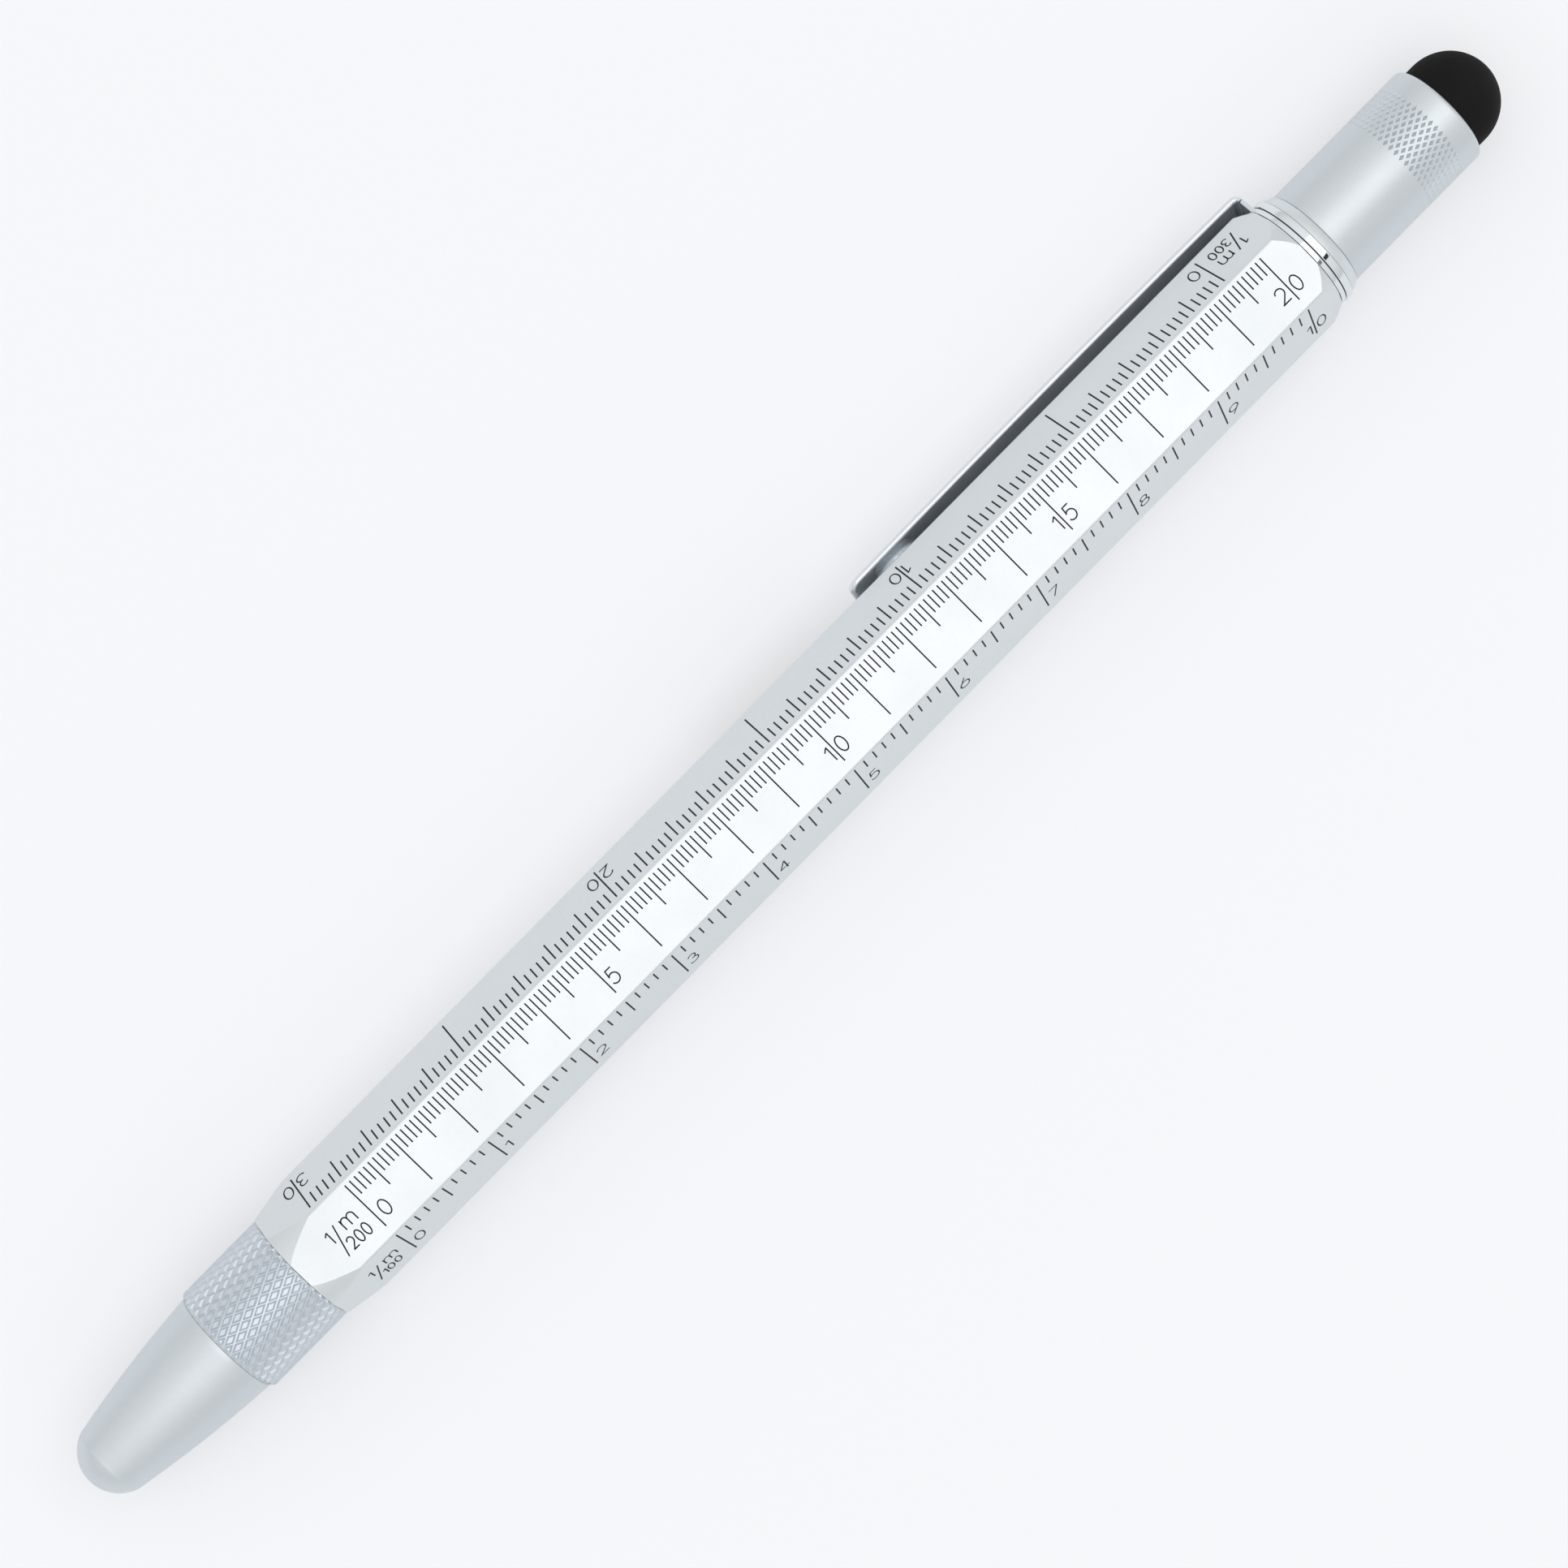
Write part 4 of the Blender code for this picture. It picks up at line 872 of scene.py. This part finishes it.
nibSizes = dict(tail=-0.7, tip=-19.7, radius=2.4, thickness=0.3, shoulder=9.0, tipWidth=0.6, wrap=94,
                flare=1.3, drop=1.3, dropLength=12.5, dropLead=0.1, slit=0.1, hole=0.45, stations=76,
                columns=28, edge=0.05, overrun=1.0, cutHeight=4.0, drillLength=5.0)


def sag(x):
    beyond = max(0, nibSizes["tip"] + nibSizes["dropLength"] + nibSizes["dropLead"] - x)
    return nibSizes["drop"] * (beyond / nibSizes["dropLength"]) ** 2


def makeNib(sizes):
    tail, tip, fullRadius, slit, hole = pull(sizes, "tail tip radius slit hole")
    nib = sheetPiece(sizes["stations"], sizes["columns"])
    for vert in nib.data.vertices:
        x = tail + (tip - tail) * (vert.co.x + 0.5)
        radius = fullRadius - (0 if vert.co.z > -0.5 else sizes["thickness"])
        share = min(1, max(0, (x - tip) / sizes["shoulder"]))
        tipWrap = sizes["tipWidth"] / 2 / fullRadius
        wrap = tipWrap + (radians(sizes["wrap"]) - tipWrap) * share ** sizes["flare"]
        angle = wrap * vert.co.y * 2
        vert.co = (x * mm, radius * sin(angle) * mm, (radius * cos(angle) - sag(x)) * mm)
    mend(nib)
    softenEdges(nib, sizes["edge"], angle=60)
    holeX = tip + sizes["shoulder"] - 2 * hole
    carve(nib, block((tip - sizes["overrun"], -slit / 2, 0), (holeX, slit / 2, sizes["cutHeight"])))
    clearSelection()
    bpy.ops.mesh.primitive_cylinder_add(vertices=40, radius=hole * mm, depth=sizes["drillLength"] * mm,
                                        location=(holeX * mm, 0, fullRadius * mm))
    applyPlace()
    carve(nib, bpy.context.object)
    return nib


settle(makeNib(nibSizes), "nibBlade", "section", nibSteel, ["nib"])

# The feed's nose: shares of its taper's length, and how far each lies under the feed's radius
feedSizes = dict(tail=-0.7, radius=2.04, length=15.6, finStart=-6.4, fins=12, comb=6.0, depth=0.5,
                 taper=3.6, nose=[(1, 0.2), (0.75, 0.5)], tipRadius=0.4, edge=0.03)


def makeFeed(sizes):
    tail, radius, taper, tipRadius, comb, fins = pull(sizes, "tail radius taper tipRadius comb fins")
    tip, floor = tail - sizes["length"], radius - sizes["depth"]
    outline = [(tail, 0), (tail, radius)]
    for i in range(fins):
        x = sizes["finStart"] - i * comb / fins
        gap = x - comb / fins / 2
        outline += [(x, radius), (x, floor), (gap, floor), (gap, radius)]
    outline += [(tip + taper * share, radius - under) for share, under in sizes["nose"]]
    outline += [(tip + taper / 2, (radius + tipRadius) / 2), (tip, tipRadius), (tip, 0)]
    feed = lathe(outline, turns=64)
    for vert in feed.data.vertices:
        vert.co.z -= sag(vert.co.x / mm) * mm
    softenEdges(feed, sizes["edge"])
    return feed


settle(makeFeed(feedSizes), "finnedFeed", "section", blackPlastic, ["feed"])

# Ink cartridge, cap liner and front bush
cartridgeSizes = dict(start=3.8, neckEnd=9.6, end=41.8, neck=2.4, bore=1.1, radius=3.2, wall=0.5, round=0.8,
                      edge=0.1)


def makeCartridge(sizes):
    start, neckEnd, end, radius, neck = pull(sizes, "start neckEnd end radius neck")
    bore, wall, bend = pull(sizes, "bore wall round")
    inside = radius - wall
    outline = [(end - wall, 0), (end - wall, inside), (neckEnd + wall, inside), (neckEnd + wall, bore)]
    outline += [(start, bore), (start, neck), (neckEnd, neck), (neckEnd, radius)]
    outline += arc(end - bend, radius - bend, bend, 90, 0, 10) + [(end, 0)]
    cartridge = lathe(outline, turns=96)
    softenEdges(cartridge, sizes["edge"], segments=3)
    return cartridge


settle(makeCartridge(cartridgeSizes), "inkCapsule", "cartridge", inkPlastic, ["ink_cartridge"])
linerSizes = dict(start=-15.86, end=-6.26, bore=3.0, radius=3.5, edge=0.08)
settle(turnedTube(linerSizes), "capLiner", "nib_cap_liner", whitePlastic, ["nib_cap_liner"])
bushSizes = dict(start=0.12, end=9.0, bore=3.35, radius=4.0, edge=0.08)
settle(turnedTube(bushSizes), "mouthBush", "barrel", brass, ["front_bush"])

# Rear bush with its thread and hexagonal socket, and the bit in it
rearSizes = dict(start=94.0, end=116.31, radius=3.64, endWall=2.4, magnetBore=1.81, threadStart=112.7,
                 socketStart=98.12, socketFlats=4.2, pitch=0.75, depth=0.2, runOut=0.1, overrun=1.0)


def makeRearBush(sizes):
    start, end, radius, magnetBore = pull(sizes, "start end radius magnetBore")
    threadStart, depth, pitch = pull(sizes, "threadStart depth pitch")
    floor = start + sizes["endWall"]
    outline = [(start, 0), (start, radius)] + threadRows(threadStart, end, radius, pitch)
    bush = lathe(outline + [(end, magnetBore), (floor, magnetBore), (floor, 0)], turns=96)
    addThread(bush, threadStart, end - sizes["runOut"], radius, depth, pitch)
    carve(bush, hexRod(sizes["socketStart"], end + sizes["overrun"], sizes["socketFlats"]))
    return bush


settle(makeRearBush(rearSizes), "socketBush", "barrel", brass, ["rear_bush"])

bitSizes = dict(start=98.26, end=124.26, flats=4.0, shank=14.0, neck=1.5, neckChamfer=0.5, point=2.2,
                pointRadius=0.6, bladeHalf=0.25, bladeLength=3.6, flutes=4, flute=0.9, fluteShare=0.55,
                edge=0.04, clearance=0.06, overrun=1.0, wedge=3.0)


def makeBit(sizes):
    start, end, neck, overrun, point = pull(sizes, "start end neck overrun point")
    neckEnd, chamfer = (end - start - sizes["shank"]) / 2, sizes["neckChamfer"]
    bit = hexRod(start, end, sizes["flats"])
    reach = sizes["flats"] / 2 / cos(pi / 6) + sizes["clearance"]
    turned = [(start, 0), (start, sizes["pointRadius"]), (start + point, neck), (start + neckEnd, neck),
              (start + neckEnd + chamfer, reach), (end - neckEnd - chamfer, reach), (end - neckEnd, neck),
              (end, neck), (end, 0)]
    carve(bit, lathe(turned, turns=96), "INTERSECT")
    bladeStart, width = end - sizes["bladeLength"], sizes["wedge"]
    for side in (-1, 1):  # a wedge from each side leaves the flat blade
        wedge = block((bladeStart, -width, 0), (end + overrun, width, width))
        for vert in wedge.data.vertices:
            if vert.co.z < width / 2 * mm:
                vert.co.z = (neck if vert.co.x < end * mm else sizes["bladeHalf"]) * mm
            vert.co.z *= side
        mend(wedge)
        carve(bit, wedge)
    half, flutes = sizes["flute"] / 2, sizes["flutes"]
    for k in range(flutes):
        flute = block((-overrun, -half, -half), (point, half, half))
        flute.data.transform(Matrix.Rotation(pi / 4, 4, "X"))
        flute.data.transform(Matrix.Translation((start * mm, 0, (half + neck * sizes["fluteShare"]) * mm)))
        flute.data.transform(Matrix.Rotation(k * 2 * pi / flutes + pi / 4, 4, "X"))
        carve(bit, flute)
    softenEdges(bit, sizes["edge"], angle=25)
    return bit


settle(makeBit(bitSizes), "driverBit", "bit", toolSteel, ["screwdriver_bit"])

# Spirit level behind its window
levelSizes = dict(start=50.0, end=65.0, carrier=3.64, vialStart=51.0, vialEnd=64.0, vial=1.6, wall=0.4,
                  offset=2.55, plug=1.0, plugGap=0.06, liquid=1.14, bubble=0.55, bubbleLength=3.0, travel=1.8,
                  lift=0.5, margin=0.1, trough=1.66, rim=0.05, glassRim=0.06, ringAt=2.3, ringWidth=0.16,
                  ringSink=0.002, ringProud=0.03)
levelMiddle = (levelSizes["vialStart"] + levelSizes["vialEnd"]) / 2


def capsule(halfLength, radius, steps=10):
    front = arc(levelMiddle - halfLength + radius, 0, radius, 180, 90, steps)
    back = arc(levelMiddle + halfLength - radius, 0, radius, 90, 0, steps)
    return [(front[0][0], 0)] + front[1:] + back[:-1] + [(back[-1][0], 0)]


def atVial(lift=0.0):
    return clipPlace @ Matrix.Translation((0, 0, (levelSizes["offset"] + lift) * mm))


def makeCarrier(sizes):
    start, end, margin = pull(sizes, "vialStart vialEnd margin")
    carrier = lathe(tube(sizes["start"], sizes["end"], 0, sizes["carrier"]), turns=128)
    trough = lathe(tube(start - margin, end + margin, 0, sizes["trough"]), turns=64)
    trough.data.transform(Matrix.Translation((0, 0, sizes["offset"] * mm)))
    trough.data.transform(clipTurn)
    carve(carrier, trough)
    carve(carrier, windowGuide(barrelSizes))
    softenEdges(carrier, sizes["rim"], angle=50)
    return carrier


def makeVial(sizes):
    start, end, radius = pull(sizes, "vialStart vialEnd vial")
    vial = lathe(tube(start, end, radius - sizes["wall"], radius), turns=96)
    softenEdges(vial, sizes["glassRim"])
    return vial


def makeLiquid(sizes):
    start, end, plug, gap, margin = pull(sizes, "vialStart vialEnd plug plugGap margin")
    liquid = lathe(tube(start + (plug + gap), end - (plug + gap), 0, sizes["liquid"]), turns=64)
    channel = capsule(sizes["bubbleLength"] / 2 + sizes["travel"] + margin, sizes["bubble"] + margin)
    channel = lathe(channel, turns=48)
    channel.data.transform(Matrix.Translation((0, 0, sizes["lift"] * mm)))
    carve(liquid, channel)
    return liquid


def makeGuideRings(sizes):
    radius, width = pull(sizes, "vial ringWidth")
    rings = []
    for side in (-1, 1):
        x = levelMiddle + side * sizes["ringAt"] - width / 2
        ring = tube(x, x + width, radius - sizes["ringSink"], radius + sizes["ringProud"])
        rings.append(lathe(ring, turns=96))
    return joinAll(rings)


settle(makeCarrier(levelSizes), "levelHolder", "barrel", blackPlastic, ["level_carrier"])
settle(makeVial(levelSizes), "levelGlass", "barrel", clearTube, ["level_vial"], atVial())
settle(makeLiquid(levelSizes), "levelFluid", "barrel", levelGreen, ["level_liquid"], atVial())
bubble = lathe(capsule(levelSizes["bubbleLength"] / 2, levelSizes["bubble"]), turns=48)
settle(bubble, "levelAir", "bubble", bubblePale, ["level_bubble"], atVial(levelSizes["lift"]))
settle(makeGuideRings(levelSizes), "levelRings", "barrel", scaleInk, place=atVial())

for node, material in (("cartridge_ball", whitePlastic), ("bit_magnet", nibSteel),
                       ("level_plug_front", blackPlastic), ("level_plug_rear", blackPlastic)):
    frame["nodes"][node].material_slots[0].material = material
print("all pieces made")

# Stage, light and camera; the mottle is in millimetres, as the other finishes are
stageSettings = dict(floorSize=6.0, floorColour=(0.915, 0.925, 0.945), mottle=40.0, mottleShade=0.995,
                     backdrop=(0.955, 0.968, 0.985), backdropShare=0.42, shadowStrip=(0.0045, 0.009, 0.0))
clearSelection()
bpy.ops.mesh.primitive_plane_add(size=stageSettings["floorSize"])
floor = bpy.context.object
floor.name = "floor"
floorMaterial, nodes, links, shader = newMaterial("floorPaper", {"Roughness": 0.9, "Specular IOR Level": 0.2})
colour = stageSettings["floorColour"]
shade = [c * stageSettings["mottleShade"] for c in colour]
mottle = noiseAt(nodes, links, stageSettings["mottle"])
addTint(nodes, links, mottle, colour, shade, shader.inputs["Base Color"])
glow = nodes.new("ShaderNodeEmission")  # part of the backdrop's colour, for what is seen and mirrored only
glow.inputs["Color"].default_value = (*stageSettings["backdrop"], 1)
glow.inputs["Strength"].default_value = 1.0
lightPath = nodes.new("ShaderNodeLightPath")


def combine(operation, first, second):
    step = nodes.new("ShaderNodeMath")
    step.operation = operation
    for socket, value in zip(step.inputs, (first, second)):
        if isinstance(value, float):
            socket.default_value = value
        else:
            links.new(value, socket)
    return step.outputs["Value"]


spot = nodes.new("ShaderNodeSeparateXYZ")
links.new(nodes["Texture Coordinate"].outputs["Object"], spot.inputs["Vector"])
clearance = nodes.new("ShaderNodeMapRange")  # the strip in the pen's shadow doesn't glow in the metal
for socket, value in zip(("From Min", "From Max", "To Min"), stageSettings["shadowStrip"]):
    clearance.inputs[socket].default_value = value
links.new(combine("ABSOLUTE", spot.outputs["Y"], 0.0), clearance.inputs["Value"])
mirrored = combine("MAXIMUM", lightPath.outputs["Is Glossy Ray"], lightPath.outputs["Is Transmission Ray"])
mirrored = combine("MULTIPLY", mirrored, clearance.outputs["Result"])
seenRays = combine("MAXIMUM", mirrored, lightPath.outputs["Is Camera Ray"])
paper = nodes.new("ShaderNodeMixShader")
links.new(combine("MULTIPLY", seenRays, stageSettings["backdropShare"]), paper.inputs["Fac"])
links.new(shader.outputs["BSDF"], paper.inputs[1])
links.new(glow.outputs["Emission"], paper.inputs[2])
clear = nodes.new("ShaderNodeBsdfTransparent")  # the floor's underside lets a view from below through
sides = nodes.new("ShaderNodeNewGeometry")
choose = nodes.new("ShaderNodeMixShader")
links.new(sides.outputs["Backfacing"], choose.inputs["Fac"])
links.new(paper.outputs["Shader"], choose.inputs[1])
links.new(clear.outputs["BSDF"], choose.inputs[2])
links.new(choose.outputs["Shader"], nodes["Material Output"].inputs["Surface"])
floor.data.materials.append(floorMaterial)

# A small dark card beside the lamp, which the bright trim mirrors
cardSettings = dict(length=0.6, width=0.19, place=(0.215, -0.66, 0.9), colour=(0.01, 0.01, 0.01))
clearSelection()
bpy.ops.mesh.primitive_plane_add(size=1, location=cardSettings["place"], rotation=(pi, 0, 0))
card = bpy.context.object
card.scale = (cardSettings["length"], cardSettings["width"], 1)
card.name = "darkCard"
cardSockets = {"Base Color": (*cardSettings["colour"], 1), "Roughness": 1.0}
card.data.materials.append(newMaterial("darkCardPaper", cardSockets)[0])

# Sky: stops of height (0 straight down, 1 straight up) and brightness
skySettings = dict(stops=[(0.0, 0.85), (0.49, 0.90), (0.515, 0.90), (0.56, 0.69), (0.62, 0.75), (0.75, 0.87),
                          (0.883, 0.93), (0.953, 0.98), (0.985, 1.02), (1.0, 1.04)],
                   tint=(1.0, 0.995, 1.005), strength=1.0)
scene = bpy.context.scene
world = bpy.data.worlds.new("studio")
scene.world = world
world.use_nodes = True
nodes, links = world.node_tree.nodes, world.node_tree.links
coords = nodes.new("ShaderNodeTexCoord")
split = nodes.new("ShaderNodeSeparateXYZ")
height = nodes.new("ShaderNodeMapRange")
height.inputs["From Min"].default_value = -1
ramp = nodes.new("ShaderNodeValToRGB")
while len(ramp.color_ramp.elements) < len(skySettings["stops"]):
    ramp.color_ramp.elements.new(0.5)
for stop, (place, level) in zip(ramp.color_ramp.elements, skySettings["stops"]):
    stop.position = place
    stop.color = (*[level * c for c in skySettings["tint"]], 1)
links.new(coords.outputs["Generated"], split.inputs["Vector"])
links.new(split.outputs["Z"], height.inputs["Value"])
links.new(height.outputs["Result"], ramp.inputs["Fac"])
links.new(ramp.outputs["Color"], nodes["Background"].inputs["Color"])
nodes["Background"].inputs["Strength"].default_value = skySettings["strength"]

# A broad lamp almost overhead, and the camera fitted to the scales' lines
lampSettings = dict(length=1.1, width=0.74, place=(0.2, -0.19, 0.9), radiance=0.52, colour=(1.0, 0.94, 0.93))
lampLength, lampWidth, radiance = pull(lampSettings, "length width radiance")
clearSelection()
bpy.ops.object.light_add(type="AREA", location=lampSettings["place"])
lamp = bpy.context.object
lamp.name = "overheadLamp"
lamp.data.shape = "RECTANGLE"
lamp.data.size = lampLength
lamp.data.size_y = lampWidth
lamp.data.color = lampSettings["colour"]
lamp.data.energy = radiance * pi * lampLength * lampWidth
lamp.visible_camera = False

cameraSettings = dict(place=(-0.0111, -0.0007, 0.3295), tilt=(-0.075, -1.727, -45.398), lens=95.58,
                      sensor=36, clipStart=0.01)
clearSelection()
bpy.ops.object.camera_add()
camera = bpy.context.object
turn = Matrix.Identity(4)
for axis, angle in zip("XYZ", cameraSettings["tilt"]):
    turn = turn @ Matrix.Rotation(radians(angle), 4, axis)
camera.matrix_world = Matrix.Translation(cameraSettings["place"]) @ turn
camera.data.lens = cameraSettings["lens"]
camera.data.sensor_width = cameraSettings["sensor"]
camera.data.clip_start = cameraSettings["clipStart"]
scene.camera = camera
scene.view_settings.view_transform = "Standard"
clearSelection()
print("stage, light and camera made")
